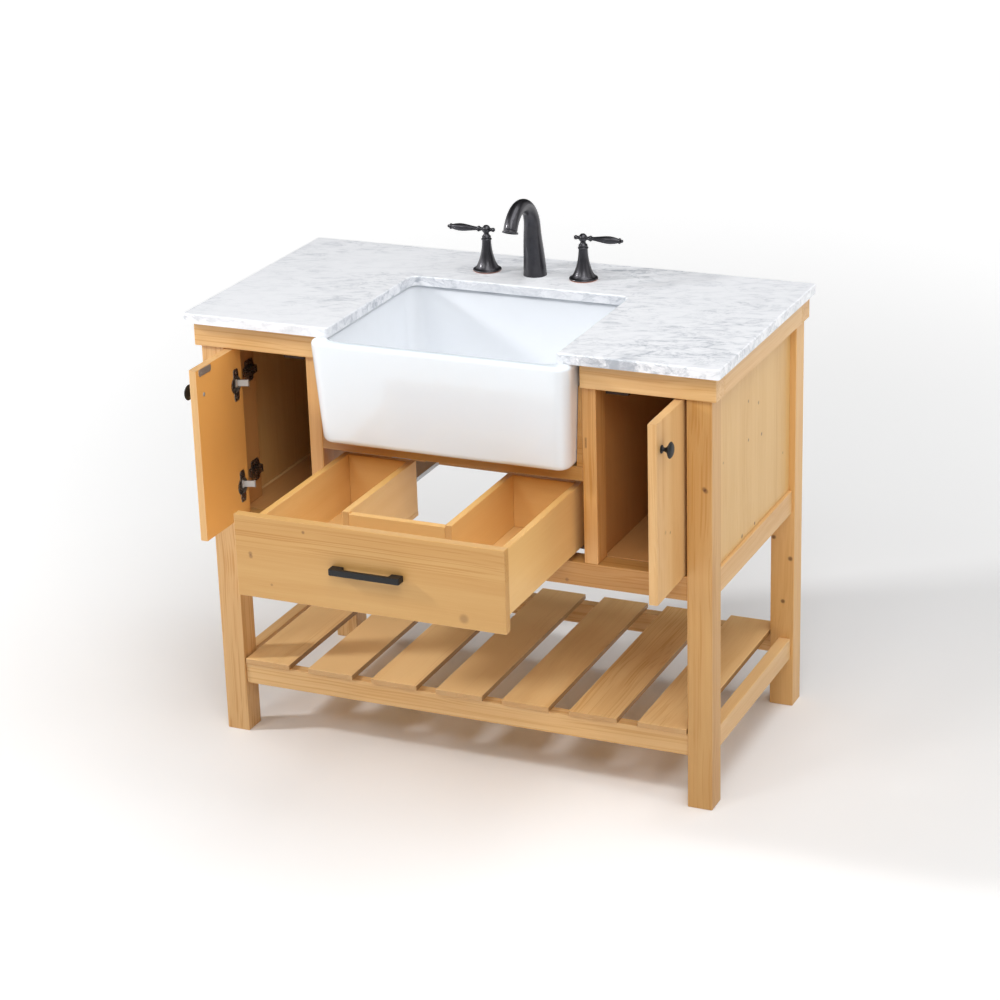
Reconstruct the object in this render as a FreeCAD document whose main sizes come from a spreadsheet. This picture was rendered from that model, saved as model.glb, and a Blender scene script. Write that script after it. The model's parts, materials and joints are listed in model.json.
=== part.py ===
"""Vanity unit: pine stand with an apron-front sink, a marble top, two doors, a U-shaped drawer and a tap.

Millimetres, +Z up. The origin is on the floor under the middle of the marble top, +Y points to the wall.
The doors and the drawer are modelled open, as the unit is shown: doors swung out, drawer pulled out.
"""
import FreeCAD, Part
import os

doc = FreeCAD.newDocument("vanity_unit")
sheet = doc.addObject("Spreadsheet::Sheet", "dims")

# Driving dimensions, all in millimetres or degrees
DIMENSIONS = [
    # Marble top
    ("top_width", 1067.0),
    ("top_depth", 559.0),
    ("top_height", 870.0),
    ("top_thickness", 19.0),
    ("top_ease", 3.0),
    ("top_corner", 6.0),
    ("cutout_side_lap", 30.0),
    ("cutout_back_lap", 33.0),
    ("cutout_corner", 20.0),
    # Legs and frieze
    ("leg_span", 1023.0),
    ("leg_side", 48.0),
    ("leg_setback", 26.0),
    ("leg_back_gap", 4.0),
    ("frieze_side_step", 10.0),
    ("frieze_height", 48.5),
    ("frieze_width", 46.0),
    ("frieze_front_step", 7.0),
    ("wood_ease", 1.5),
    # Cabinet frame and panels
    ("cabinet_floor", 462.0),
    ("cabinet_rail_height", 47.0),
    ("frame_inset", 2.0),
    ("frame_depth", 44.0),
    ("opening_width", 528.0),
    ("stile_width", 27.0),
    ("rail_thickness", 24.0),
    ("rail_recess", 5.5),
    ("panel_thickness", 12.0),
    ("panel_recess", 12.0),
    ("partition_thickness", 15.0),
    ("partition_inset", 6.0),
    ("floor_thickness", 12.0),
    ("back_thickness", 9.0),
    ("batten_width", 64.0),
    # Open shelf
    ("shelf_height", 158.0),
    ("slat_thickness", 11.0),
    ("slat_width", 97.0),
    ("slat_count", 7.0),
    ("slat_end_gap", 2.0),
    ("shelf_rail_height", 43.0),
    ("slat_overhang", 4.0),
    # Sink
    ("sink_side_gap", 6.0),
    ("sink_reach", 30.0),
    ("sink_depth", 427.0),
    ("sink_height", 203.0),
    ("sink_wall", 24.0),
    ("sink_floor", 24.0),
    ("sink_front_draft", 18.0),
    ("sink_side_draft", 8.0),
    ("sink_corner", 26.0),
    ("sink_rim_radius", 9.0),
    ("sink_foot_radius", 12.0),
    ("basin_corner", 32.0),
    ("basin_cove", 20.0),
    ("sink_rail_height", 26.0),
    ("sink_beam_depth", 44.0),
    ("scribe_gap", 1.0),
    ("scribe_step", 1.5),
    ("scribe_thickness", 20.0),
    # Drain
    ("drain_setback", 225.0),
    ("drain_hole_radius", 23.0),
    ("drain_body_radius", 22.0),
    ("drain_bore_radius", 16.5),
    ("drain_flange_radius", 31.0),
    ("drain_flange_thickness", 3.0),
    ("drain_body_drop", 30.0),
    ("tailpiece_radius", 15.9),
    ("tailpiece_wall", 1.6),
    ("tailpiece_length", 66.0),
    ("tailpiece_lap", 20.0),
    ("stopper_radius", 19.0),
    ("stopper_thickness", 5.0),
    ("stopper_clearance", 0.5),
    ("stopper_stem_radius", 4.0),
    ("stopper_stem_length", 40.0),
    ("guide_width", 12.0),
    ("guide_height", 8.0),
    ("guide_bite", 1.5),
    ("nut_height", 9.0),
    ("nut_wall", 8.0),
    # Doors
    ("door_thickness", 16.0),
    ("door_hinge_gap", 3.0),
    ("door_gap", 2.0),
    ("door_corner", 4.0),
    ("left_door_open", 90.0),
    ("right_door_open", 91.0),
    ("knob_edge", 25.0),
    ("knob_drop", 52.0),
    ("knob_radius", 15.0),
    ("knob_crown_radius", 9.0),
    ("knob_stem_length", 10.5),
    ("knob_flare_length", 5.0),
    ("knob_rim_length", 3.0),
    ("knob_crown_length", 3.5),
    ("knob_stem_radius", 4.0),
    ("knob_rose_radius", 7.5),
    ("knob_rose_thickness", 2.5),
    ("strike_length", 44.0),
    ("strike_height", 13.0),
    ("strike_thickness", 1.5),
    ("strike_edge", 10.0),
    ("strike_drop", 1.0),
    ("catch_length", 44.0),
    ("catch_depth", 14.0),
    ("catch_height", 15.0),
    ("catch_gap", 0.5),
    # Concealed hinges
    ("hinge_end", 66.0),
    ("hinge_drop", 6.0),
    ("pin_edge", 12.0),
    ("pin_depth", 10.0),
    ("pin_radius", 1.5),
    ("pin_clearance", 0.05),
    ("eye_radius", 3.0),
    ("arm_width", 15.0),
    ("arm_thickness", 2.5),
    ("arm_lean", 20.0),
    ("arm_reach", 24.0),
    ("arm_back", 62.0),
    ("arm_tail", 42.0),
    ("plate_thickness", 7.0),
    ("plate_height", 44.0),
    ("cup_edge", 23.0),
    ("cup_radius", 18.0),
    ("cup_clearance", 0.3),
    ("cup_sheet", 1.4),
    ("cheek_thickness", 2.0),
    ("cheek_gap", 0.5),
    ("ear_height", 22.0),
    ("ear_width", 28.0),
    # Drawer
    ("drawer_out", 352.0),
    ("drawer_gap", 2.0),
    ("drawer_front_thickness", 18.0),
    ("drawer_side_gap", 20.0),
    ("drawer_box_depth", 385.0),
    ("drawer_head_gap", 21.0),
    ("drawer_box_lift", 12.0),
    ("drawer_side_thickness", 13.0),
    ("drawer_bottom_thickness", 8.0),
    ("drawer_bottom_recess", 14.0),
    ("drawer_notch_width", 190.0),
    ("drawer_front_bin", 102.0),
    ("drawer_cross_drop", 4.0),
    ("pull_length", 138.0),
    ("pull_reach", 20.0),
    ("pull_height", 12.0),
    ("pull_bar", 8.0),
    ("pull_foot", 23.0),
    ("pull_ease", 1.5),
    # Drawer slides
    ("slide_length", 356.0),
    ("slide_front_gap", 4.0),
    ("slide_width", 24.0),
    ("slide_clearance", 0.5),
    ("slide_side_gap", 2.0),
    ("slide_sheet", 2.0),
    ("slide_flange_height", 36.0),
    ("slide_flange_setback", 14.0),
    # Tap
    ("tap_setback", 115.0),
    ("tap_spread", 203.2),
    ("shank_radius", 14.0),
    ("shank_clearance", 2.0),
    ("shank_length", 52.0),
    ("inlet_radius", 10.3),
    ("inlet_length", 24.0),
    ("spout_base_radius", 23.0),
    ("spout_waist_radius", 20.0),
    ("spout_waist_height", 49.0),
    ("spout_waist_lean", 3.2),
    ("spout_neck_radius", 16.5),
    ("spout_tube_radius", 13.5),
    ("spout_column", 98.0),
    ("spout_bend", 54.0),
    ("spout_lean", 9.0),
    ("spout_turn", 158.0),
    ("spout_ring_radius", 15.5),
    ("spout_ring_length", 6.0),
    ("valve_base_radius", 28.0),
    ("valve_base_height", 5.0),
    ("valve_foot_radius", 26.0),
    ("valve_flare_radius", 19.5),
    ("valve_flare_height", 9.0),
    ("valve_waist_radius", 13.0),
    ("valve_waist_height", 26.0),
    ("valve_neck_radius", 8.8),
    ("valve_height", 66.0),
    ("valve_collar_radius", 10.0),
    ("valve_collar_height", 4.0),
    ("handle_gap", 0.4),
    ("handle_stem_radius", 4.0),
    ("handle_stem_length", 18.0),
    ("handle_stem_clearance", 0.05),
    ("handle_foot_radius", 9.0),
    ("handle_throat_radius", 5.0),
    ("handle_throat_height", 11.0),
    ("hub_height", 16.0),
    ("hub_radius", 8.5),
    ("lever_length", 83.0),
    ("lever_neck_radius", 3.6),
    ("lever_ring_start", 14.0),
    ("lever_ring_width", 3.0),
    ("lever_ring_radius", 5.8),
    ("lever_swell_start", 55.0),
    ("lever_radius", 7.6),
    ("lever_end_start", 74.0),
    ("lever_end_radius", 4.5),
    ("lever_tip_radius", 3.2),
    ("stub_length", 14.5),
    ("stub_radius", 2.9),
    ("button_radius", 4.3),
    # Wall fixing
    ("wall_hole_radius", 3.0),
    ("wall_hole_spacing", 406.4),
]


def fill_sheet():
    """Each driving dimension gets one row: its name, and its value under an alias."""
    for row, (name, value) in enumerate(DIMENSIONS, 1):
        sheet.set("A%d" % row, name)
        sheet.set("B%d" % row, str(value))
        sheet.setAlias("B%d" % row, name)
    doc.recompute()


def d(text):
    """An expression in brackets, with each driving dimension written as dims.NAME."""
    words = text.replace("(", " ( ").replace(")", " ) ").split()
    names = {name for name, value in DIMENSIONS}
    return "(" + " ".join("dims." + word if word in names else word for word in words) + ")"


def value(expression):
    """The number that an expression gives now."""
    doc.recompute()
    return float(sheet.evalExpression(expression))


def bind(thing, **expressions):
    for name, text in expressions.items():
        thing.setExpression(name.replace("__", "."), text)
    return thing


def place(thing, x="0", y="0", z="0"):
    return bind(thing, Placement__Base__x=x, Placement__Base__y=y, Placement__Base__z=z)


def turn(thing, axis, angle):
    """Turn about one of the axes x, y or z through the thing's own base point."""
    for letter in "xyz":
        thing.setExpression("Placement.Rotation.Axis." + letter, "1" if letter == axis else "0")
    thing.setExpression("Placement.Rotation.Angle", angle)
    return thing


def block(name, x, y, z):
    """A box between two expressions along each axis."""
    box = doc.addObject("Part::Box", name)
    bind(box, Length=x[1] + " - " + x[0], Width=y[1] + " - " + y[0], Height=z[1] + " - " + z[0])
    return place(box, x[0], y[0], z[0])


def rod(name, radius, length, x, y, z):
    """An upright cylinder from a base point."""
    cylinder = doc.addObject("Part::Cylinder", name)
    bind(cylinder, Radius=radius, Height=length)
    return place(cylinder, x, y, z)


def taper(name, low, high, length, x, y, z):
    """An upright cone from one radius to another."""
    cone = doc.addObject("Part::Cone", name)
    bind(cone, Radius1=low, Radius2=high, Height=length)
    return place(cone, x, y, z)


def ball(name, radius, x, y, z):
    """A sphere whose poles point to the front and back, so that no bar enters it at a pole."""
    sphere = doc.addObject("Part::Sphere", name)
    bind(sphere, Radius=radius)
    sphere.Placement.Rotation = FreeCAD.Rotation(FreeCAD.Vector(1, 1, 1), -120)
    return place(sphere, x, y, z)


def wedge(name, foot, head, y, z):
    """A board with upright front and back, whose two ends in x differ between its foot and its head."""
    tapered = doc.addObject("Part::Wedge", name)
    height = z[1] + " - " + z[0]
    depth = y[1] + " - " + y[0]
    bind(tapered, Xmin=foot[0], Xmax=foot[1], X2min=head[0], X2max=head[1], Ymin="0", Ymax=height,
         Zmin="0", Zmax=depth, Z2min="0", Z2max=depth)
    turn(tapered, "x", "90")
    return place(tapered, "0", y[1], z[0])


def spindle(name, low, high, length, x, y, z):
    """One stretch of a turned piece: a cylinder where its two end radii are the same size, else a cone."""
    if low == high:
        return rod(name, d(low), length, x, y, z)
    return taper(name, d(low), d(high), length, x, y, z)


def fuse(name, shapes):
    joined = doc.addObject("Part::MultiFuse", name)
    joined.Shapes = shapes
    return joined


def cut(name, base, tools):
    """The base less every tool."""
    pared = doc.addObject("Part::Cut", name)
    pared.Base = base
    pared.Tool = tools[0] if len(tools) == 1 else fuse(name + "_tools", tools)
    return pared


def rounded(name, base, radius, wanted=None):
    """Round the edges that the test picks, or every edge."""
    doc.recompute()
    size = value(radius)
    numbers = [n + 1 for n, edge in enumerate(base.Shape.Edges) if wanted is None or wanted(edge)]
    fillet = doc.addObject("Part::Fillet", name)
    fillet.Base = base
    fillet.Edges = [(n, size, size) for n in numbers]
    return fillet


def mirrored(name, source):
    """The same piece on the other side of the middle plane."""
    copy = doc.addObject("Part::Mirroring", name)
    copy.Source = source
    copy.Base = (0, 0, 0)
    copy.Normal = (1, 0, 0)
    return copy


def group(name, pieces):
    """Like pieces that share one node, each its own solid."""
    compound = doc.addObject("Part::Compound", name)
    compound.Links = pieces
    return compound


# How close an edge lies to a plane that it is on
NEAR = 0.01

NODES = []


def node(thing, label):
    thing.Label = label
    NODES.append(thing)
    return thing


def upright(edge):
    box = edge.BoundBox
    return max(box.XLength, box.YLength) < NEAR


def level_at(height):
    """A test for edges that lie flat at one height."""
    def test(edge):
        return abs(edge.BoundBox.ZMin - height) < NEAR and abs(edge.BoundBox.ZMax - height) < NEAR
    return test


def pair(label, piece):
    """A piece and its mirror image as one node."""
    return node(group(label, [piece, mirrored("other_" + label, piece)]), label)


def board(label, x, y, z):
    """A timber with eased edges, as its own node."""
    return node(rounded(label, block(label + "_blank", x, y, z), EASE), label)


def board_pair(right, left, x, y, z):
    """A timber on the right and its mirror image on the left."""
    piece = board(right, x, y, z)
    node(mirrored(left, piece), left)


def timber(name, x, y, z):
    """A timber with eased edges that goes into a group."""
    return rounded(name, block(name + "_blank", x, y, z), EASE)


fill_sheet()
EASE = d("wood_ease")

# Planes that the pieces share
TOP_FRONT = d("-1 * top_depth / 2")
TOP_BACK = d("top_depth / 2")
TOP = d("top_height")
TOP_UNDER = d("top_height - top_thickness")
FRIEZE_UNDER = d("top_height - top_thickness - frieze_height")
LEG_OUT = d("leg_span / 2")
LEG_IN = d("leg_span / 2 - leg_side")
LEG_FRONT = d("-1 * top_depth / 2 + leg_setback")
LEG_FRONT_IN = d("-1 * top_depth / 2 + leg_setback + leg_side")
LEG_BACK = d("top_depth / 2 - leg_back_gap")
LEG_BACK_IN = d("top_depth / 2 - leg_back_gap - leg_side")
FRAME_FRONT = d("-1 * top_depth / 2 + leg_setback + frame_inset")
FRAME_BACK = d("-1 * top_depth / 2 + leg_setback + frame_inset + frame_depth")
RAIL_OUT = d("leg_span / 2 - rail_recess")
RAIL_IN = d("leg_span / 2 - rail_recess - rail_thickness")
BACK_RAIL_BACK = d("top_depth / 2 - leg_back_gap - rail_recess")
BACK_RAIL_FRONT = d("top_depth / 2 - leg_back_gap - rail_recess - rail_thickness")
PANEL_OUT = d("leg_span / 2 - panel_recess")
PANEL_IN = d("leg_span / 2 - panel_recess - panel_thickness")
STILE_IN = d("opening_width / 2")
STILE_OUT = d("opening_width / 2 + stile_width")
PARTITION_IN = d("opening_width / 2 + partition_inset")
PARTITION_OUT = d("opening_width / 2 + partition_inset + partition_thickness")
FLOOR = d("cabinet_floor")
CABINET_UNDER = d("cabinet_floor - cabinet_rail_height")
SHELF = d("shelf_height")
SLAT_UNDER = d("shelf_height - slat_thickness")
SHELF_RAIL_UNDER = d("shelf_height - slat_thickness - shelf_rail_height")
SINK_HALF = d("opening_width / 2 - sink_side_gap")
SINK_FRONT = d("-1 * top_depth / 2 - sink_reach")
SINK_BACK = d("sink_depth - top_depth / 2 - sink_reach")
SINK_UNDER = d("top_height - top_thickness - sink_height")
SINK_RAIL_UNDER = d("top_height - top_thickness - sink_height - sink_rail_height")
TAP_Y = d("top_depth / 2 - tap_setback")
TAP_PLACES = (d("-1 * tap_spread / 2"), "0", d("tap_spread / 2"))
SHANK_UNDER = d("top_height - shank_length")
DRAIN_Y = d("-1 * top_depth / 2 + drain_setback")


def minus(expression):
    return "(0 - " + expression + ")"


def plus(*expressions):
    return "(" + " + ".join(expressions) + ")"


BASIN_FLOOR = plus(SINK_UNDER, d("sink_floor"))
DRAIN_BODY_UNDER = plus(SINK_UNDER, minus(d("drain_body_drop")))


def marble_top():
    """A slab with a bay cut from its front edge for the sink, and three tap holes."""
    side = d("top_width / 2")
    slab = block("slab", (minus(side), side), (TOP_FRONT, TOP_BACK), (TOP_UNDER, TOP))
    half = plus(SINK_HALF, minus(d("cutout_side_lap")))
    bay_back = plus(SINK_BACK, minus(d("cutout_back_lap")))
    bay = block("bay", (minus(half), half), (SINK_FRONT, bay_back), (TOP_UNDER, TOP))
    inner = value(bay_back)
    soft_bay = rounded("soft_bay", bay, d("cutout_corner"),
                       lambda edge: upright(edge) and abs(edge.BoundBox.YMin - inner) < NEAR)
    hole_radius = d("shank_radius + shank_clearance")
    holes = [rod("tap_hole_%d" % n, hole_radius, d("top_thickness"), x, TAP_Y, TOP_UNDER)
             for n, x in enumerate(TAP_PLACES)]
    bored = cut("bored_slab", slab, [soft_bay] + holes)
    doc.recompute()
    front = value(TOP_FRONT)
    back = value(TOP_BACK)
    corners = rounded("cornered_slab", bored, d("top_corner"), lambda edge: upright(edge) and (
        abs(edge.BoundBox.YMin - front) < NEAR or abs(edge.BoundBox.YMin - back) < NEAR))
    doc.recompute()
    at_top = level_at(value(TOP))
    node(rounded("marble_top", corners, d("top_ease"),
                 lambda edge: at_top(edge) and not edge.isClosed()), "marble_top")


def drafted(name, low, half, front, back, height, side_draft, front_draft):
    """A box that widens upwards: half, front and back are its top's, drawn in by the drafts at its foot."""
    wedge = doc.addObject("Part::Wedge", name)
    bind(wedge, Ymin="0", Ymax=height,
         X2min=minus(half), X2max=half, Z2min=minus(back), Z2max=minus(front),
         Xmin=plus(minus(half), side_draft), Xmax=plus(half, minus(side_draft)),
         Zmin=plus(minus(back), side_draft), Zmax=plus(minus(front), minus(front_draft)))
    turn(wedge, "x", "90")
    return place(wedge, "0", "0", low)


def apron_sink():
    """A drafted tub with rounded corners and rim, whose front wall stands proud of the marble top."""
    wall = d("sink_wall")
    outer = drafted("sink_outer", SINK_UNDER, SINK_HALF, SINK_FRONT, SINK_BACK, d("sink_height"),
                    d("sink_side_draft"), d("sink_front_draft"))
    inner = drafted("sink_inner", BASIN_FLOOR, plus(SINK_HALF, minus(wall)), plus(SINK_FRONT, wall),
                    plus(SINK_BACK, minus(wall)), d("sink_height - sink_floor"),
                    d("sink_side_draft"), d("sink_front_draft"))
    low = value(SINK_UNDER)
    high = value(TOP_UNDER)
    basin_low = value(BASIN_FLOOR)

    def standing(edge):
        return edge.BoundBox.ZLength > (high - low) / 2
    tub = rounded("tub", outer, d("sink_corner"), standing)
    basin = rounded("basin", inner, d("basin_corner"), standing)
    coved = rounded("coved_basin", basin, d("basin_cove"), level_at(basin_low))
    hollow = cut("hollow_tub", tub, [coved])
    rimmed = rounded("rimmed_tub", hollow, d("sink_rim_radius"), level_at(high))
    footed = rounded("footed_tub", rimmed, d("sink_foot_radius"), level_at(low))
    hole = rod("drain_hole", d("drain_hole_radius"), d("sink_floor"), "0", DRAIN_Y, SINK_UNDER)
    node(cut("apron_sink", footed, [hole]), "apron_sink")


def drain():
    """A flanged body through the sink's floor, a tailpiece pushed into it and a stopper on a guided stem."""
    lip = d("drain_flange_thickness")
    flange = rod("flange_plate", d("drain_flange_radius"), lip, "0", DRAIN_Y, BASIN_FLOOR)
    length = plus(BASIN_FLOOR, minus(DRAIN_BODY_UNDER), lip)
    body = rod("drain_tube", d("drain_body_radius"), length, "0", DRAIN_Y, DRAIN_BODY_UNDER)
    bore = rod("drain_bore", d("drain_bore_radius"), length, "0", DRAIN_Y, DRAIN_BODY_UNDER)
    thick = d("stopper_thickness")
    seat_low = plus(BASIN_FLOOR, lip, minus(thick))
    seat = rod("stopper_seat", d("stopper_radius + stopper_clearance"), thick, "0", DRAIN_Y, seat_low)
    ring = cut("drain_ring", fuse("drain_blank", [flange, body]), [bore, seat])
    half = d("guide_width / 2")
    guide_low = plus(SINK_UNDER, minus(d("guide_height")))
    bar_end = d("drain_bore_radius + guide_bite")
    bar = block("guide_bar", (minus(bar_end), bar_end),
                (plus(DRAIN_Y, minus(half)), plus(DRAIN_Y, half)), (guide_low, SINK_UNDER))
    tall = d("guide_height")
    inside = rod("guide_limit", d("drain_bore_radius + guide_bite"), tall, "0", DRAIN_Y, guide_low)
    trimmed = doc.addObject("Part::Common", "trimmed_bar")
    trimmed.Base = bar
    trimmed.Tool = inside
    stem_hole = rod("stem_hole", d("stopper_stem_radius + pin_clearance"), tall, "0", DRAIN_Y, guide_low)
    guide = cut("stem_guide", trimmed, [stem_hole])
    node(fuse("drain_flange", [ring, guide]), "drain_flange")
    pipe_top = plus(DRAIN_BODY_UNDER, d("tailpiece_lap"))
    pipe_low = plus(pipe_top, minus(d("tailpiece_length")))
    pipe = rod("pipe_outer", d("tailpiece_radius"), d("tailpiece_length"), "0", DRAIN_Y, pipe_low)
    pipe_bore = rod("pipe_bore", d("tailpiece_radius - tailpiece_wall"), d("tailpiece_length"),
                    "0", DRAIN_Y, pipe_low)
    collar = rod("pipe_collar", d("drain_body_radius"), d("nut_wall"), "0", DRAIN_Y,
                 plus(DRAIN_BODY_UNDER, minus(d("nut_wall"))))
    node(cut("drain_tailpiece", fuse("pipe_blank", [pipe, collar]), [pipe_bore]), "drain_tailpiece")
    disc = rod("stopper_disc", d("stopper_radius"), thick, "0", DRAIN_Y, seat_low)
    stem_low = plus(seat_low, minus(d("stopper_stem_length")))
    stem = rod("stopper_stem", d("stopper_stem_radius"), d("stopper_stem_length"), "0", DRAIN_Y, stem_low)
    node(fuse("drain_stopper", [disc, stem]), "drain_stopper")


def hexagon_nut(name, hole, x, y, high):
    """A six-sided nut hung under a face."""
    prism = doc.addObject("Part::Prism", name + "_blank")
    prism.Polygon = 6
    bind(prism, Circumradius=plus(hole, d("nut_wall")), Height=d("nut_height"))
    low = plus(high, minus(d("nut_height")))
    place(prism, x, y, low)
    return cut(name, prism, [rod(name + "_hole", hole, d("nut_height"), x, y, low)])


def lock_nuts():
    """One nut under the sink and three under the marble top."""
    nuts = [hexagon_nut("drain_nut", d("drain_body_radius"), "0", DRAIN_Y, SINK_UNDER)]
    for name, x in zip(("hot_nut", "spout_nut", "cold_nut"), TAP_PLACES):
        nuts.append(hexagon_nut(name, d("shank_radius"), x, TAP_Y, TOP_UNDER))
    node(group("lock_nuts", nuts), "lock_nuts")


def scribed_strip():
    """A strip that stands on the sink rail and fills the gap between a stile and the leaning side of the sink."""
    rise = plus(FRIEZE_UNDER, minus(SINK_UNDER))
    foot = plus(SINK_HALF, minus(d("sink_side_draft")), d("scribe_gap"))
    head = plus(foot, "%s * %s / %s" % (d("sink_side_draft"), rise, d("sink_height")))
    front = plus(FRAME_FRONT, d("scribe_step"))
    blank = wedge("strip_blank", (foot, STILE_IN), (head, STILE_IN), (front, plus(front, d("scribe_thickness"))),
                  (SINK_UNDER, FRIEZE_UNDER))
    return rounded("sink_strip", blank, EASE)


def carcass():
    """Legs, frieze, rails, stiles and panels."""
    across = (LEG_IN, LEG_OUT)
    board_pair("leg_front_right", "leg_front_left", across, (LEG_FRONT, LEG_FRONT_IN), ("0", FRIEZE_UNDER))
    board_pair("leg_back_right", "leg_back_left", across, (LEG_BACK_IN, LEG_BACK), ("0", FRIEZE_UNDER))

    frieze = (FRIEZE_UNDER, TOP_UNDER)
    frieze_out = plus(LEG_OUT, d("frieze_side_step"))
    frieze_in = plus(frieze_out, minus(d("frieze_width")))
    front = plus(LEG_FRONT, minus(d("frieze_front_step")))
    front_back = plus(front, d("frieze_width"))
    back_front = plus(LEG_BACK, minus(d("frieze_width")))
    board_pair("frieze_front_right", "frieze_front_left", (STILE_IN, frieze_out), (front, front_back), frieze)
    board_pair("frieze_right", "frieze_left", (frieze_in, frieze_out), (front_back, back_front), frieze)
    back_rail = timber("frieze_back_timber", (minus(frieze_out), frieze_out), (back_front, LEG_BACK), frieze)
    middle = plus(FRIEZE_UNDER, d("frieze_height / 2"))
    holes = []
    for n, x in enumerate((d("-1 * wall_hole_spacing / 2"), d("wall_hole_spacing / 2"))):
        hole = rod("wall_hole_%d" % n, d("wall_hole_radius"), d("frieze_width"), x, LEG_BACK, middle)
        holes.append(turn(hole, "x", "90"))
    node(cut("frieze_back", back_rail, holes), "frieze_back")

    depth = (FRAME_FRONT, FRAME_BACK)
    rail = (CABINET_UNDER, FLOOR)
    between_legs = (LEG_FRONT_IN, LEG_BACK_IN)
    board("cabinet_rail_front", (minus(LEG_IN), LEG_IN), depth, rail)
    board("cabinet_rail_back", (minus(LEG_IN), LEG_IN), (BACK_RAIL_FRONT, BACK_RAIL_BACK), rail)
    side_rail = timber("cabinet_side_rail", (RAIL_IN, RAIL_OUT), between_legs, rail)
    pair("cabinet_side_rails", side_rail)
    board_pair("stile_right", "stile_left", (STILE_IN, STILE_OUT), depth, (FLOOR, FRIEZE_UNDER))
    under_sink = (SINK_RAIL_UNDER, SINK_UNDER)
    sink_rail = timber("sink_rail_timber", (minus(STILE_IN), STILE_IN), depth, under_sink)
    strip = scribed_strip()
    node(group("sink_rail", [sink_rail, strip, mirrored("other_strip", strip)]), "sink_rail")
    beam_back = plus(SINK_BACK, minus(d("sink_wall / 2")))
    beam_front = plus(beam_back, minus(d("sink_beam_depth")))
    board("sink_beam", (minus(PARTITION_IN), PARTITION_IN), (beam_front, beam_back), under_sink)

    panel_z = (FLOOR, FRIEZE_UNDER)
    board_pair("side_panel_right", "side_panel_left", (PANEL_IN, PANEL_OUT), between_legs, panel_z)
    board_pair("partition_right", "partition_left", (PARTITION_IN, PARTITION_OUT),
               (FRAME_BACK, BACK_RAIL_FRONT), (CABINET_UNDER, FRIEZE_UNDER))
    panel_front = plus(BACK_RAIL_FRONT, minus(d("back_thickness")))
    floor_z = (plus(FLOOR, minus(d("floor_thickness"))), FLOOR)
    sheet_floor = timber("floor_sheet", (PARTITION_OUT, RAIL_IN), (LEG_FRONT_IN, panel_front), floor_z)
    leg_notch = block("floor_notch", (LEG_IN, RAIL_IN), (LEG_BACK_IN, panel_front), floor_z)
    floor = cut("floor_panel", sheet_floor, [leg_notch])
    pair("floor_panels", floor)
    back = timber("back_panel", (PARTITION_OUT, LEG_IN), (panel_front, BACK_RAIL_FRONT),
                  (CABINET_UNDER, FRIEZE_UNDER))
    pair("back_panels", back)
    batten = timber("hinge_batten", (LEG_IN, PANEL_IN), (LEG_FRONT_IN, plus(LEG_FRONT_IN, d("batten_width"))),
                    panel_z)
    pair("hinge_battens", batten)


def shelf():
    """Rails round the legs and seven slats laid front to back on the front and back rails."""
    rail = (SHELF_RAIL_UNDER, SLAT_UNDER)
    front = plus(LEG_FRONT, d("slat_overhang"))
    front_back = plus(front, d("rail_thickness"))
    board("shelf_rail_front", (minus(LEG_IN), LEG_IN), (front, front_back), rail)
    board("shelf_rail_back", (minus(LEG_IN), LEG_IN), (BACK_RAIL_FRONT, BACK_RAIL_BACK), rail)
    side = timber("shelf_side_rail", (RAIL_IN, RAIL_OUT), (LEG_FRONT_IN, LEG_BACK_IN), rail)
    pair("shelf_side_rails", side)
    first = plus(minus(LEG_IN), d("slat_end_gap"))
    run = plus(d("leg_span - 2 * leg_side - 2 * slat_end_gap - slat_width"))
    slats = []
    for n in range(int(value(d("slat_count")))):
        low = plus(first, run + " * %d / (dims.slat_count - 1)" % n)
        slats.append(timber("slat_%d" % (n + 1), (low, plus(low, d("slat_width"))),
                            (LEG_FRONT, LEG_BACK), (SLAT_UNDER, SHELF)))
    node(group("shelf_slats", slats), "shelf_slats")


# The right door, shut. Its hinge edge is beside the right front leg.
DOOR_HINGE_X = plus(LEG_IN, minus(d("door_hinge_gap")))
DOOR_FREE_X = plus(STILE_OUT, d("door_gap"))
DOOR_BACK = plus(FRAME_FRONT, d("door_thickness"))
DOOR_LOW = plus(FLOOR, d("door_gap"))
DOOR_HIGH = plus(FRIEZE_UNDER, minus(d("door_gap")))
PIN_X = plus(DOOR_HINGE_X, minus(d("pin_edge")))
PIN_Y = plus(FRAME_FRONT, d("pin_depth"))
HINGE_HEIGHTS = (plus(DOOR_LOW, d("hinge_end - hinge_drop")), plus(DOOR_HIGH, minus(d("hinge_end + hinge_drop"))))
CUP_X = plus(DOOR_HINGE_X, minus(d("cup_edge")))
CUP_FLOOR = plus(PIN_Y, minus(d("eye_radius + cup_clearance + cup_sheet + cup_clearance")))


def door_panel():
    """A solid panel with two round pockets for the hinge cups."""
    panel = block("door_blank", (DOOR_FREE_X, DOOR_HINGE_X), (FRAME_FRONT, DOOR_BACK), (DOOR_LOW, DOOR_HIGH))
    front = value(FRAME_FRONT)

    def front_edge(edge):
        return upright(edge) and abs(edge.BoundBox.YMin - front) < NEAR
    soft = rounded("door_soft", panel, d("door_corner"), front_edge)
    pockets = []
    deep = plus(DOOR_BACK, minus(CUP_FLOOR))
    for n, height in enumerate(HINGE_HEIGHTS):
        pocket = rod("cup_pocket_%d" % n, d("cup_radius"), deep, CUP_X, DOOR_BACK, height)
        pockets.append(turn(pocket, "x", "90"))
    return cut("door_shut", soft, pockets)


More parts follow.
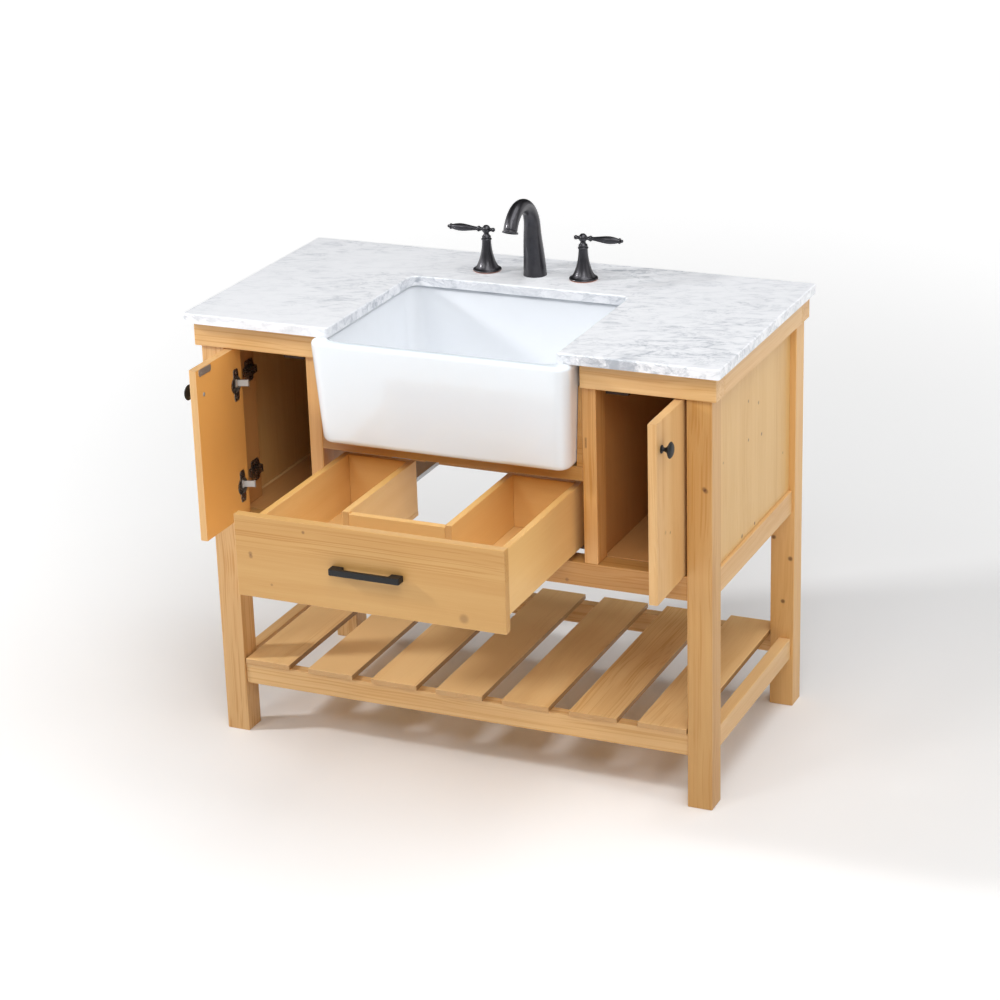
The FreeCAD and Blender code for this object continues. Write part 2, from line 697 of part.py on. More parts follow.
def hinge_cup(name, height):
    """A folded steel cup: floor, two cheeks that hold the pin, and an ear above and below for the screws."""
    sheet_low = plus(CUP_FLOOR, d("cup_clearance"))
    half_arm = d("arm_width / 2 + cheek_gap")
    half_out = d("arm_width / 2 + cheek_gap + cheek_thickness")
    chord = "(sqrt(pow(%s; 2) - pow(%s; 2)) - %s)" % (d("cup_radius"), half_out, d("cup_clearance"))
    x = (plus(CUP_X, minus(chord)), plus(CUP_X, chord))
    face = plus(DOOR_BACK, d("cup_sheet"))
    floor = block(name + "_floor", x, (sheet_low, plus(sheet_low, d("cup_sheet"))),
                  (plus(height, minus(half_out)), plus(height, half_out)))
    parts = [floor]
    ear_x = (plus(CUP_X, d("-1 * ear_width / 2")), plus(CUP_X, d("ear_width / 2")))
    for n, (near, far, out) in enumerate((("", "", "+"), ("0 - ", "0 - ", "-"))):
        cheek_a = plus(height, "(" + near + half_arm + ")")
        cheek_b = plus(height, "(" + far + half_out + ")")
        ear_end = plus(cheek_b, "(" + near + d("ear_height") + ")")
        low, high = (cheek_a, cheek_b) if out == "+" else (cheek_b, cheek_a)
        parts.append(block(name + "_cheek_%d" % n, x, (sheet_low, face), (low, high)))
        low, high = (cheek_a, ear_end) if out == "+" else (ear_end, cheek_a)
        parts.append(block(name + "_ear_%d" % n, ear_x, (DOOR_BACK, face), (low, high)))
    parts.append(rod(name + "_pin", d("pin_radius"), "2 * " + half_out, PIN_X, PIN_Y,
                     plus(height, minus(half_out))))
    return fuse(name, parts)


def hinge_arm(name, height):
    """A goose-neck strip: an eye on the pin, out of the cup, round the door's edge, back along the batten."""
    half = d("arm_thickness / 2")
    low = plus(height, d("-1 * arm_width / 2"))
    wide = d("arm_width")
    across = ("0", wide)
    lean = "dims.arm_lean"
    elbow_x = plus(PIN_X, minus("dims.arm_reach * cos(%s)" % lean))
    elbow_y = plus(PIN_Y, "dims.arm_reach * sin(%s)" % lean)
    bend_x = plus(LEG_IN, minus(d("plate_thickness + arm_thickness / 2")))
    bend_y = plus(FRAME_FRONT, d("arm_back"))
    strip = (minus(half), half)
    eye = rod(name + "_eye", d("eye_radius"), wide, PIN_X, PIN_Y, low)
    reach = block(name + "_reach", ("0", d("arm_reach")), ("0", d("arm_thickness")), across)
    turn(reach, "z", "180 - " + lean)
    place(reach, plus(PIN_X, "%s * sin(%s)" % (half, lean)), plus(PIN_Y, "%s * cos(%s)" % (half, lean)), low)
    run_x = plus(bend_x, minus(elbow_x))
    run_y = plus(bend_y, minus(elbow_y))
    slope = "atan2(%s; %s)" % (run_y, run_x)
    length = "sqrt(pow(%s; 2) + pow(%s; 2))" % (run_x, run_y)
    neck = block(name + "_neck", ("0", length), ("0", d("arm_thickness")), across)
    turn(neck, "z", slope)
    neck_x = plus(elbow_x, "%s * sin(%s)" % (half, slope))
    neck_y = plus(elbow_y, "0 - %s * cos(%s)" % (half, slope))
    place(neck, neck_x, neck_y, low)
    elbow = rod(name + "_elbow", half, wide, elbow_x, elbow_y, low)
    bend = rod(name + "_bend", half, wide, bend_x, bend_y, low)
    tail = block(name + "_tail", strip, ("0", d("arm_tail")), across)
    place(tail, plus(bend_x, strip[0]), bend_y, low)
    bore = rod(name + "_bore", d("pin_radius + pin_clearance"), wide, PIN_X, PIN_Y, low)
    return cut(name, fuse(name + "_strip", [eye, reach, elbow, neck, bend, tail]), [bore])


def hinge_plate(name, height):
    """A block on the batten that carries the arm's tail."""
    front = plus(FRAME_FRONT, d("arm_back"))
    half = d("plate_height / 2")
    return timber(name, (plus(LEG_IN, minus(d("plate_thickness"))), LEG_IN),
                  (front, plus(front, d("arm_tail"))), (plus(height, minus(half)), plus(height, half)))


def shut_knob():
    """A mushroom knob on the shut door: rose, stem and a turned head, pointing out of the door."""
    x = plus(DOOR_FREE_X, d("knob_edge"))
    z = plus(DOOR_HIGH, minus(d("knob_drop")))
    rose = rod("knob_rose", d("knob_rose_radius"), d("knob_rose_thickness"), x, FRAME_FRONT, z)
    shapes = [turn(rose, "x", "90")]
    at = FRAME_FRONT
    for name, low, high in (("stem", "knob_stem_radius", "knob_stem_radius"),
                            ("flare", "knob_stem_radius", "knob_radius"),
                            ("rim", "knob_radius", "knob_radius"),
                            ("crown", "knob_radius", "knob_crown_radius")):
        length = d("knob_" + name + "_length")
        shapes.append(turn(spindle("knob_" + name, low, high, length, x, at, z), "x", "90"))
        at = plus(at, minus(length))
    return fuse("knob_shut", shapes)


def shut_strike():
    """A steel plate on the inside of the shut door's top free corner, for the magnet."""
    low_x = plus(DOOR_FREE_X, d("strike_edge"))
    high_z = plus(DOOR_HIGH, minus(d("strike_drop")))
    return block("strike_shut", (low_x, plus(low_x, d("strike_length"))),
                 (DOOR_BACK, plus(DOOR_BACK, d("strike_thickness"))),
                 (plus(high_z, minus(d("strike_height"))), high_z))


def swung(name, piece, side):
    """The piece turned open about its hinge pin: the right one as it is, the left one mirrored first."""
    thing = mirrored(name, piece) if side == "left" else group(name, [piece])
    angle = "dims.right_door_open" if side == "right" else "(0 - dims.left_door_open)"
    pin_x = PIN_X if side == "right" else minus(PIN_X)
    turn(thing, "z", angle)
    return place(thing,
                 "%s - %s * cos(%s) + %s * sin(%s)" % (pin_x, pin_x, angle, PIN_Y, angle),
                 "%s - %s * sin(%s) - %s * cos(%s)" % (PIN_Y, pin_x, angle, PIN_Y, angle), "0")


def doors():
    """Both doors with their cups, knobs and strikes, and the fixed arms, plates and magnets."""
    panel = door_panel()
    cups = group("cups_shut", [hinge_cup("cup_%d" % n, height) for n, height in enumerate(HINGE_HEIGHTS)])
    knob = shut_knob()
    strike = shut_strike()
    for side in ("right", "left"):
        node(swung(side + "_door", panel, side), side + "_door")
        node(swung(side + "_hinge_cups", cups, side), side + "_hinge_cups")
        node(swung(side + "_knob", knob, side), side + "_knob")
        node(swung(side + "_strike", strike, side), side + "_strike")
    arms = [hinge_arm("arm_%d" % n, height) for n, height in enumerate(HINGE_HEIGHTS)]
    arms += [mirrored("other_arm_%d" % n, arm) for n, arm in enumerate(arms)]
    node(group("hinge_arms", arms), "hinge_arms")
    plates = [hinge_plate("plate_%d" % n, height) for n, height in enumerate(HINGE_HEIGHTS)]
    plates += [mirrored("other_plate_%d" % n, plate) for n, plate in enumerate(plates)]
    node(group("hinge_plates", plates), "hinge_plates")
    low_x = plus(DOOR_FREE_X, d("strike_edge"))
    front = plus(DOOR_BACK, d("strike_thickness + catch_gap"))
    magnet = timber("magnet_catch", (low_x, plus(low_x, d("catch_length"))),
                    (front, plus(front, d("catch_depth"))),
                    (plus(FRIEZE_UNDER, minus(d("catch_height"))), FRIEZE_UNDER))
    pair("magnet_catches", magnet)


# The drawer is modelled pulled out by drawer_out
OUT = d("drawer_out")
DRAWER_FACE = plus(FRAME_FRONT, minus(OUT))
BOX_FRONT = plus(DRAWER_FACE, d("drawer_front_thickness"))
BOX_BACK = plus(BOX_FRONT, d("drawer_box_depth"))
BOX_HALF = d("opening_width / 2 - drawer_side_gap")
BOX_LOW = plus(FLOOR, d("drawer_gap + drawer_box_lift"))
BOX_HIGH = plus(SINK_RAIL_UNDER, minus(d("drawer_head_gap")))
BOTTOM_LOW = plus(BOX_LOW, d("drawer_bottom_recess"))
BOTTOM_HIGH = plus(BOX_LOW, d("drawer_bottom_recess + drawer_bottom_thickness"))
BOARD = d("drawer_side_thickness")
NOTCH_HALF = d("drawer_notch_width / 2")
DIVIDER_OUT = plus(NOTCH_HALF, BOARD)
CROSS_FRONT = plus(BOX_FRONT, d("drawer_front_bin"))
SIDE_IN = plus(BOX_HALF, minus(BOARD))


def drawer():
    """A U-shaped box round the waste pipe: two deep bins, a shallow bin between them, and a front."""
    front_half = plus(STILE_IN, minus(d("drawer_gap")))
    board("drawer_front", (minus(front_half), front_half), (DRAWER_FACE, BOX_FRONT),
          (plus(FLOOR, d("drawer_gap")), plus(SINK_RAIL_UNDER, minus(d("drawer_gap")))))
    side = timber("drawer_side", (SIDE_IN, BOX_HALF), (BOX_FRONT, BOX_BACK), (BOX_LOW, BOX_HIGH))
    pair("drawer_sides", side)
    wall = (BOTTOM_HIGH, BOX_HIGH)
    pair("drawer_dividers", timber("drawer_divider", (NOTCH_HALF, DIVIDER_OUT), (CROSS_FRONT, BOX_BACK), wall))
    board("drawer_cross", (minus(NOTCH_HALF), NOTCH_HALF), (CROSS_FRONT, plus(CROSS_FRONT, BOARD)),
          (BOTTOM_HIGH, plus(BOX_HIGH, minus(d("drawer_cross_drop")))))
    back_front = plus(BOX_BACK, minus(BOARD))
    pair("drawer_backs", timber("drawer_back", (DIVIDER_OUT, SIDE_IN), (back_front, BOX_BACK), wall))
    bottom = (BOTTOM_LOW, BOTTOM_HIGH)
    panel = block("bottom_sheet", (minus(SIDE_IN), SIDE_IN), (BOX_FRONT, BOX_BACK), bottom)
    bay = block("bottom_bay", (minus(NOTCH_HALF), NOTCH_HALF), (plus(CROSS_FRONT, BOARD), BOX_BACK), bottom)
    node(cut("drawer_bottom", panel, [bay]), "drawer_bottom")


def drawer_pull():
    """A flat bar on two feet, centred on the drawer front."""
    half = d("pull_length / 2")
    middle = "((%s + %s) / 2)" % (plus(FLOOR, d("drawer_gap")), plus(SINK_RAIL_UNDER, minus(d("drawer_gap"))))
    low = plus(middle, d("-1 * pull_height / 2"))
    high = plus(middle, d("pull_height / 2"))
    tip = plus(DRAWER_FACE, minus(d("pull_reach")))
    bar = block("pull_bar_blank", (minus(half), half), (tip, plus(tip, d("pull_bar"))), (low, high))
    foot_in = plus(half, minus(d("pull_foot")))
    foot = block("pull_foot_blank", (foot_in, half), (tip, DRAWER_FACE), (low, high))
    blank = fuse("pull_blank", [bar, foot, mirrored("other_foot", foot)])
    blank.Refine = True
    face = value(DRAWER_FACE)
    node(rounded("drawer_pull", blank, d("pull_ease"),
                 lambda edge: abs(edge.BoundBox.YMin - face) > NEAR or abs(edge.BoundBox.YMax - face) > NEAR),
         "drawer_pull")


def drawer_slides():
    """Three members each side under the drawer: a base on the partition, a middle, a runner on the drawer."""
    room = plus(BOTTOM_LOW, minus(plus(FLOOR, d("drawer_gap"))))
    gap = d("slide_clearance")
    thick = "((%s - 2 * %s) / 3)" % (room, gap)
    low = plus(FLOOR, d("drawer_gap"))
    x_out = plus(SIDE_IN, minus(d("slide_side_gap")))
    x = (plus(x_out, minus(d("slide_width"))), x_out)
    shut_front = plus(FRAME_FRONT, d("drawer_front_thickness + slide_front_gap"))

    def member(name, level, pulled):
        front = plus(shut_front, minus(pulled))
        base = plus(low, "%d * (%s + %s)" % (level, thick, gap))
        return block(name, x, (front, plus(front, d("slide_length"))), (base, plus(base, thick)))
    strip = member("slide_base_strip", 0, "0")
    sheet_thick = d("slide_sheet")
    wing_y = (plus(FRAME_BACK, d("slide_flange_setback")), plus(shut_front, d("slide_length")))
    web = block("slide_web", (x_out, PARTITION_IN), wing_y, (low, plus(low, sheet_thick)))
    flange = block("slide_flange", (plus(PARTITION_IN, minus(sheet_thick)), PARTITION_IN), wing_y,
                   (low, plus(low, d("slide_flange_height"))))
    base = fuse("slide_base", [strip, web, flange])
    middle = member("slide_middle", 1, d("drawer_out / 2"))
    runner = member("slide_runner", 2, OUT)
    for label, piece in (("slide_bases", base), ("slide_middles", middle), ("slide_runners", runner)):
        pair(label, piece)


def spout():
    """A round column that leans forward, thins and bends over in one arc, with a ring at the outlet."""
    arc_y = plus(TAP_Y, minus(d("spout_lean + spout_bend")))
    arc_z = plus(TOP, d("spout_column"))
    sections = []

    def ring_at(name, radius, y, z, tilt):
        circle = doc.addObject("Part::Circle", name)
        bind(circle, Radius=radius)
        turn(circle, "x", tilt)
        sections.append(place(circle, "0", y, z))
    ring_at("spout_foot", d("spout_base_radius"), TAP_Y, TOP, "0")
    ring_at("spout_waist", d("spout_waist_radius"), plus(TAP_Y, minus(d("spout_waist_lean"))),
            plus(TOP, d("spout_waist_height")), "0")
    steps = 5
    for n in range(steps):
        share = n / (steps - 1)
        tilt = "(dims.spout_turn * %g)" % share
        thin = min(1.0, 2 * share)
        radius = d("spout_neck_radius * %g + spout_tube_radius * %g" % (1 - thin, thin))
        ring_at("spout_ring_%d" % n, radius, plus(arc_y, "dims.spout_bend * cos(%s)" % tilt),
                plus(arc_z, "dims.spout_bend * sin(%s)" % tilt), tilt)
    tube = doc.addObject("Part::Loft", "spout_tube")
    tube.Sections = sections
    tube.Solid = True
    turned = "dims.spout_turn"
    outlet_y = plus(arc_y, "dims.spout_bend * cos(%s)" % turned)
    outlet_z = plus(arc_z, "dims.spout_bend * sin(%s)" % turned)
    outlet = rod("spout_outlet", d("spout_ring_radius"), d("spout_ring_length"), "0", outlet_y, outlet_z)
    turn(outlet, "x", turned)
    shank = rod("spout_shank", d("shank_radius"), d("shank_length"), "0", TAP_Y, SHANK_UNDER)
    node(fuse("spout", [tube, outlet, shank]), "spout")


def valve_and_handle():
    """A bell-shaped valve body with its threaded inlet, and a lever handle whose stem turns in it."""
    x = d("tap_spread / 2")
    foot = plus(TOP, d("valve_base_height"))
    collar_low = plus(TOP, d("valve_height - valve_collar_height"))
    flare_top = plus(foot, d("valve_flare_height"))
    waist_top = plus(foot, d("valve_waist_height"))
    shapes = [rod("valve_disc", d("valve_base_radius"), d("valve_base_height"), x, TAP_Y, TOP)]
    for name, low, high, start, end in (
            ("foot", "valve_foot_radius", "valve_flare_radius", foot, flare_top),
            ("flare", "valve_flare_radius", "valve_waist_radius", flare_top, waist_top),
            ("waist", "valve_waist_radius", "valve_neck_radius", waist_top, collar_low)):
        shapes.append(spindle("valve_" + name, low, high, plus(end, minus(start)), x, TAP_Y, start))
    collar = rod("valve_collar", d("valve_collar_radius"), d("valve_collar_height"), x, TAP_Y, collar_low)
    shank = rod("valve_shank", d("shank_radius"), d("shank_length"), x, TAP_Y, SHANK_UNDER)
    inlet = rod("valve_inlet", d("inlet_radius"), d("inlet_length"), x, TAP_Y,
                plus(SHANK_UNDER, minus(d("inlet_length"))))
    shapes += [collar, shank, inlet]
    valve_top = plus(TOP, d("valve_height"))
    depth = d("handle_stem_length + handle_gap")
    bore = rod("valve_bore", d("handle_stem_radius + handle_stem_clearance"), depth, x, TAP_Y,
               plus(valve_top, minus(depth)))
    valve = node(cut("cold_valve", fuse("valve_blank", shapes), [bore]), "cold_valve")
    node(mirrored("hot_valve", valve), "hot_valve")

    start = plus(valve_top, d("handle_gap"))
    hub_z = plus(start, d("hub_height"))
    parts = [rod("handle_stem", d("handle_stem_radius"), d("handle_stem_length"), x, TAP_Y,
                 plus(start, minus(d("handle_stem_length")))),
             spindle("handle_throat", "handle_foot_radius", "handle_throat_radius", d("handle_throat_height"),
                     x, TAP_Y, start),
             ball("handle_hub", d("hub_radius"), x, TAP_Y, hub_z)]
    ring = d("lever_ring_start")
    ring_end = d("lever_ring_start + lever_ring_width")
    swell = d("lever_swell_start")
    end = d("lever_end_start")
    end_ring = d("lever_end_start + lever_ring_width")
    tip = d("lever_length")
    for name, low, high, near, far in (
            ("neck", "lever_neck_radius", "lever_neck_radius", "0", ring),
            ("ring", "lever_ring_radius", "lever_ring_radius", ring, ring_end),
            ("swell", "lever_neck_radius", "lever_radius", ring_end, swell),
            ("taper", "lever_radius", "lever_end_radius", swell, end),
            ("end_ring", "lever_ring_radius", "lever_ring_radius", end, end_ring),
            ("tip", "lever_tip_radius", "lever_tip_radius", end_ring, tip)):
        piece = spindle("lever_" + name, low, high, plus(far, minus(near)), plus(x, near), TAP_Y, hub_z)
        parts.append(turn(piece, "y", "90"))
    stub = rod("lever_stub", d("stub_radius"), d("stub_length"), x, TAP_Y, hub_z)
    parts.append(turn(stub, "y", "-90"))
    parts.append(ball("lever_button", d("button_radius"), plus(x, minus(d("stub_length"))), TAP_Y, hub_z))
    handle = node(fuse("cold_handle", parts), "cold_handle")
    node(mirrored("hot_handle", handle), "hot_handle")


marble_top()
apron_sink()
drain()
lock_nuts()
carcass()
shelf()
doors()
drawer()
drawer_pull()
drawer_slides()
spout()
valve_and_handle()
doc.recompute()

for thing in doc.Objects:
    if "Invalid" in thing.State or "Error" in thing.State:
        raise RuntimeError("%s failed: %s" % (thing.Name, thing.State))
for thing in NODES:
    if thing.Shape.isNull() or not thing.Shape.isValid() or not thing.Shape.Solids:
        raise RuntimeError("%s has no valid solid" % thing.Label)

os.makedirs("parts", exist_ok=True)
for thing in NODES:
    thing.Shape.exportStep("parts/" + thing.Label + ".step")
print(len(NODES), "nodes written")
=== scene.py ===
"""Looks of the vanity unit: a finish for every solid, and fine pieces in place of plain metal and clay.

Object coordinates are the row frame in metres: +Z up, the origin on the floor, +Y to the wall.
Sizes of the fine pieces are in millimetres, and are scaled once, where their meshes are made.
"""
import json
import math

import bmesh
import bpy
import numpy as np
from mathutils import Matrix, Vector


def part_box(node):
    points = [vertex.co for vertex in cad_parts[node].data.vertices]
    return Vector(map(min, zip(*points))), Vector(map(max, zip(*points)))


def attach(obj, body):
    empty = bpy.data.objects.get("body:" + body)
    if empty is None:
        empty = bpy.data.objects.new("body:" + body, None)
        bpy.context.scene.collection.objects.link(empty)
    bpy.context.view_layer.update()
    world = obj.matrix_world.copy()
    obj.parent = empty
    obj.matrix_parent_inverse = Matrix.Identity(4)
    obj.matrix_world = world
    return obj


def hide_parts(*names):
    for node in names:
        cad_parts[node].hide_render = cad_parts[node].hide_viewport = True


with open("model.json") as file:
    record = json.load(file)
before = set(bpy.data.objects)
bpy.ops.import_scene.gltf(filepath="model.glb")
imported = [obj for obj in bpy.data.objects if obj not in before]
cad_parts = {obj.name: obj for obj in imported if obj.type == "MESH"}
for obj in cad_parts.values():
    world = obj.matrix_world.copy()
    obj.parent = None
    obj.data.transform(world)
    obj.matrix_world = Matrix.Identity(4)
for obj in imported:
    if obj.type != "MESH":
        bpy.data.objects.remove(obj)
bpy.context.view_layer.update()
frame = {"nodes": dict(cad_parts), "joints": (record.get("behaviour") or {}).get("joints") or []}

MM = 0.001
NODES = frame["nodes"]
PIVOTS = {joint["name"]: np.array(joint["pos_m"]) / MM for joint in frame["joints"] if "pos_m" in joint}
UP = (0, 0, 1)


def corners(node):
    """The lowest and highest corner of a solid, in millimetres."""
    low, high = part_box(node)
    return np.array(low) / MM, np.array(high) / MM


# Shader sockets that can be written as sums

class Value:
    """An output of a shader node, which takes part in arithmetic."""

    def __init__(self, finish, socket):
        self.finish = finish
        self.socket = socket

    def math(self, operation, *others):
        inputs = dict(enumerate((self,) + others))
        return self.finish.node("ShaderNodeMath", {"operation": operation}, inputs)

    def __add__(self, other):
        return self.math("ADD", other)

    def __sub__(self, other):
        return self.math("SUBTRACT", other)

    def __rsub__(self, other):
        return self.finish.node("ShaderNodeMath", {"operation": "SUBTRACT"}, {0: other, 1: self})

    def __mul__(self, other):
        return self.math("MULTIPLY", other)

    def __truediv__(self, other):
        return self.math("DIVIDE", other)

    def __abs__(self):
        return self.math("ABSOLUTE")

    __radd__ = __add__
    __rmul__ = __mul__

    def ease(self, start, end):
        """0 before start, 1 after end, and a smooth step between them."""
        return self.finish.node("ShaderNodeMapRange", {"interpolation_type": "SMOOTHSTEP"},
                                {"Value": self, "From Min": start, "From Max": end})

    def part(self, letter):
        """The X, Y or Z part of a vector."""
        return self.finish.node("ShaderNodeSeparateXYZ", {}, {0: self}, letter)


class Finish:
    """One material: a Principled shader and the nodes that feed it."""

    def __init__(self, name, **constants):
        self.material = bpy.data.materials.new(name)
        self.material.use_nodes = True
        self.tree = self.material.node_tree
        self.shader = self.tree.nodes["Principled BSDF"]
        self.set(**constants)

    def feed(self, socket, value):
        if isinstance(value, Value):
            self.tree.links.new(value.socket, socket)
        else:
            socket.default_value = value

    def node(self, kind, settings, inputs, output=0):
        """A new node with its settings and inputs, and one of its outputs."""
        made = self.tree.nodes.new(kind)
        for name, value in settings.items():
            setattr(made, name, value)
        for name, value in inputs.items():
            self.feed(made.inputs[name], value)
        return Value(self, made.outputs[output])

    def set(self, **values):
        """Inputs of the shader, written as words joined by underscores."""
        for name, value in values.items():
            self.feed(self.shader.inputs[name.replace("_", " ").title()], value)

    def place(self):
        """The object coordinates, in metres."""
        return self.node("ShaderNodeTexCoord", {}, {}, "Object")

    def facing(self, letter):
        """How far a face looks along one axis, from -1 to 1."""
        return self.node("ShaderNodeTexCoord", {}, {}, "Normal").part(letter)

    def vector(self, x, y, z):
        return self.node("ShaderNodeCombineXYZ", {}, {0: x, 1: y, 2: z})

    def noise(self, vector, scale=1.0, detail=2.0, rough=0.5, twist=0.0):
        return self.node("ShaderNodeTexNoise", {}, {"Vector": vector, "Scale": scale, "Detail": detail,
                                                    "Roughness": rough, "Distortion": twist})

    def gap(self, vector, point):
        """The distance from a point."""
        return self.node("ShaderNodeVectorMath", {"operation": "DISTANCE"}, {0: vector, 1: point}, "Value")

    def random(self, number):
        return self.node("ShaderNodeTexWhiteNoise", {"noise_dimensions": "1D"}, {"W": number})

    def blend(self, share, first, second):
        """A colour between two, by the share of the second."""
        return self.node("ShaderNodeMix", {"data_type": "RGBA"}, {0: share, 6: first, 7: second}, 2)

    def bump(self, height, depth):
        """A relief that follows a height, and is so many metres deep."""
        relief = {"Height": height, "Distance": depth, "Strength": 1.0}
        self.set(normal=self.node("ShaderNodeBump", {}, relief))


def colour(red, green, blue):
    """A colour given as it is seen, from 0 to 255, turned into light."""
    seen = np.array([red, green, blue]) / 255
    light = np.where(seen <= 0.04045, seen / 12.92, ((seen + 0.055) / 1.055) ** 2.4)
    return (*light, 1.0)


# Wood

# The colour of knots, and also of the painted shade on faces that look along X.
KNOT_AND_PAINTED_SHADE = colour(108, 68, 36)
END_GRAIN = colour(190, 146, 98)
VENEER = colour(232, 170, 92)
PALE_STEP = (9, 12, 16)
DARK_STEP = (-20, -30, -36)
FIBRE_RELIEF = 0.00008


def pine(name, along, mean, seed, lines=0.6, contrast=1.0, staves=None, dense=None, knots=(), inner=0,
         ends=0.35, painted_side_shade=0.0, painted_top_light=0.25, wander=0.05):
    """Lacquered pine with its grain along one axis, about a mean colour.

    Bands, thin dark lines in groups, and fibres are noises stretched along the grain, which wanders.
    Staves give the axis, width and start of boards side by side, each with its own grain and tone.
    A dense place gives the axis, middle and reach of one group of lines.
    Knots are points with a radius and a strength.
    An inner side, 1 or -1 along X, is faced with plain veneer.
    Ends are how far the end grain darkens, and painted side shade is how far the faces that look along X
    are painted darker, as painted shade.
    Painted top light is how far the faces that look up are painted paler, as painted light, or darker below
    zero, as painted shade.
    """
    finish = Finish(name, coat_weight=0.08, coat_roughness=0.3)
    place = finish.place()
    axes = {letter: place.part(letter.upper()) for letter in "xyz"}
    side, depth = (axes[letter] for letter in "xyz" if letter != along)
    run = axes[along]
    shift = seed
    board = 0.5
    if staves:
        axis, width, start = staves
        board = finish.random(((axes[axis] - start) / width).math("FLOOR") + seed)
        shift = board * 30.0 + seed

    def grain(length, breadth, detail, rough=0.5, offset=0.0):
        """A noise stretched along the grain, with scales per metre along it and across it."""
        stretched = finish.vector(run * length + shift, side * breadth + offset, depth * breadth)
        return finish.noise(stretched, detail=detail, rough=rough)
    sway = grain(1.7, 3.0, 2.0, offset=shift) * wander
    side = side + sway
    depth = depth + sway
    band = grain(0.9, 34.0, 4.0, rough=0.6, offset=shift)
    line = grain(0.7, 260.0, 1.0, offset=shift)
    fibre = grain(10.0, 520.0, 2.0)
    cloud = grain(2.2, 5.0, 2.0)
    if dense:
        axis, middle, reach = dense
        group = 1.0 - abs(axes[axis] - middle + sway * 0.4).ease(reach * 0.6, reach * 1.2)
    else:
        group = grain(0.4, 11.0, 1.0, offset=shift).ease(0.44, 0.6)
    late = line.ease(0.5, 0.66) * group
    own_tone = (board - 0.5) * 0.5
    tone = late * lines + (band * 1.3 + fibre * 0.4 + cloud * 0.7 + own_tone - 0.82) * contrast
    # Painted light: faces that look up are painted paler, or darker as painted shade when the share is
    # below zero.
    tone = tone - finish.facing("Z").ease(0.5, 0.9) * painted_top_light
    pale = colour(*np.add(mean, PALE_STEP))
    dark = colour(*np.add(mean, DARK_STEP))
    wood = finish.blend(tone.ease(-0.35, 1.15), pale, dark)
    end = abs(finish.facing(along.upper())).ease(0.6, 0.9)
    wood = finish.blend(end * ends, wood, END_GRAIN)
    # Painted shade: faces that look along X are darkened towards the knot brown.
    if painted_side_shade:
        wood = finish.blend(abs(finish.facing("X")).ease(0.6, 0.9) * painted_side_shade, wood, KNOT_AND_PAINTED_SHADE)
    if knots:
        heart = 0.0
        for x, y, z, radius, strength in knots:
            heart = (1.0 - (finish.gap(place, (x, y, z)) / radius).ease(0.35, 1.1)) * strength + heart
        wood = finish.blend(heart, wood, KNOT_AND_PAINTED_SHADE)
    if inner:
        wood = finish.blend((finish.facing("X") * inner).ease(0.5, 0.8), wood, VENEER)
    finish.set(base_color=wood, roughness=fibre * 0.14 + 0.36)
    finish.bump(fibre, FIBRE_RELIEF)
    return finish.material


# Stone, clay and metal

MARBLE_WHITE = colour(249, 250, 253)
MARBLE_GREY = colour(170, 176, 185)
BASIN_WHITE = colour(239, 242, 246)
# A painted cool tint for the apron's front, which offsets the warm light bounced onto it.
APRON_PAINTED_COOL_WHITE = colour(237, 245, 252)
APRON_LEAN = 0.018
APRON_FADE = 0.014
GLAZE_RELIEF = 0.0006
COPPER = colour(206, 150, 128)
EVEN = (1.0, 1.0, 1.0)


def marble():
    """White marble: soft grey wisps and thin veins on a slant, from noises that are stretched and twisted.

    Both are stronger in patches and to the right. One dark lens and a veined stretch of the front edge
    are stretched spots. Faces that don't look up are greyer.
    """
    finish = Finish("marble", coat_weight=0.25, coat_roughness=0.05, roughness=0.3)
    place = finish.place()
    across, deep, up = (place.part(letter) for letter in "XYZ")
    run = across + deep * 0.4
    slant = deep - across * 0.3

    def streaks(length, breadth, rough, twist):
        """A noise stretched along the slant, with scales per metre along it and across it."""
        stretched = finish.vector(run * length, slant * breadth, up * breadth)
        return finish.noise(stretched, detail=6.0, rough=rough, twist=twist)

    def spot(squeeze, centre, start, end):
        """1 within start of a centre, 0 beyond end, and longer along X by the squeeze of that axis."""
        return 1.0 - finish.gap(finish.vector(across * squeeze, deep, up), centre).ease(start, end)
    wisp = streaks(22.0, 52.0, 0.68, 0.9)
    vein = streaks(9.0, 22.0, 0.62, 0.7)
    patch = finish.noise(place, scale=5.0, detail=2.0).ease(0.36, 0.66)
    right = across.ease(-0.25, 0.3)
    thin = 1.0 - abs(vein - 0.5).ease(0.0, 0.035)
    lens = spot(0.4, (0.103, -0.082, 0.87), 0.004, 0.013)
    edge = spot(0.6, (0.207, -0.2795, 0.862), 0.006, 0.04)
    cut = (1.0 - finish.facing("Z")) * (vein.ease(0.36, 0.66) * 0.3 + 0.08)
    grey = wisp.ease(0.4, 0.72) * (patch * 0.28 + right * 0.1 + 0.2)
    grey = grey + thin * (patch * 0.24 + right * 0.1 + 0.06)
    grey = grey + lens * 0.35 + edge * vein.ease(0.4, 0.62) * 0.5 + cut
    finish.set(base_color=finish.blend(grey.ease(-0.1, 1.05), MARBLE_WHITE, MARBLE_GREY))
    return finish.material


def fireclay():
    """White glaze over clay, with the slight waves of a glaze, and a painted cool tint on the apron that
    offsets the warm light the drawer and floor bounce onto it.
    """
    finish = Finish("fireclay", roughness=0.1, coat_weight=0.5, coat_roughness=0.04)
    place = finish.place()
    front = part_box("apron_sink")[0].y + APRON_LEAN
    # Painted cool tint: the apron's front is blended towards a bluer white, against the warm bounced light.
    apron = 1.0 - place.part("Y").ease(front, front + APRON_FADE)
    finish.set(base_color=finish.blend(apron, BASIN_WHITE, APRON_PAINTED_COOL_WHITE))
    waves = finish.noise(place, scale=26.0, detail=1.0)
    finish.bump(waves, GLAZE_RELIEF)
    return finish.material


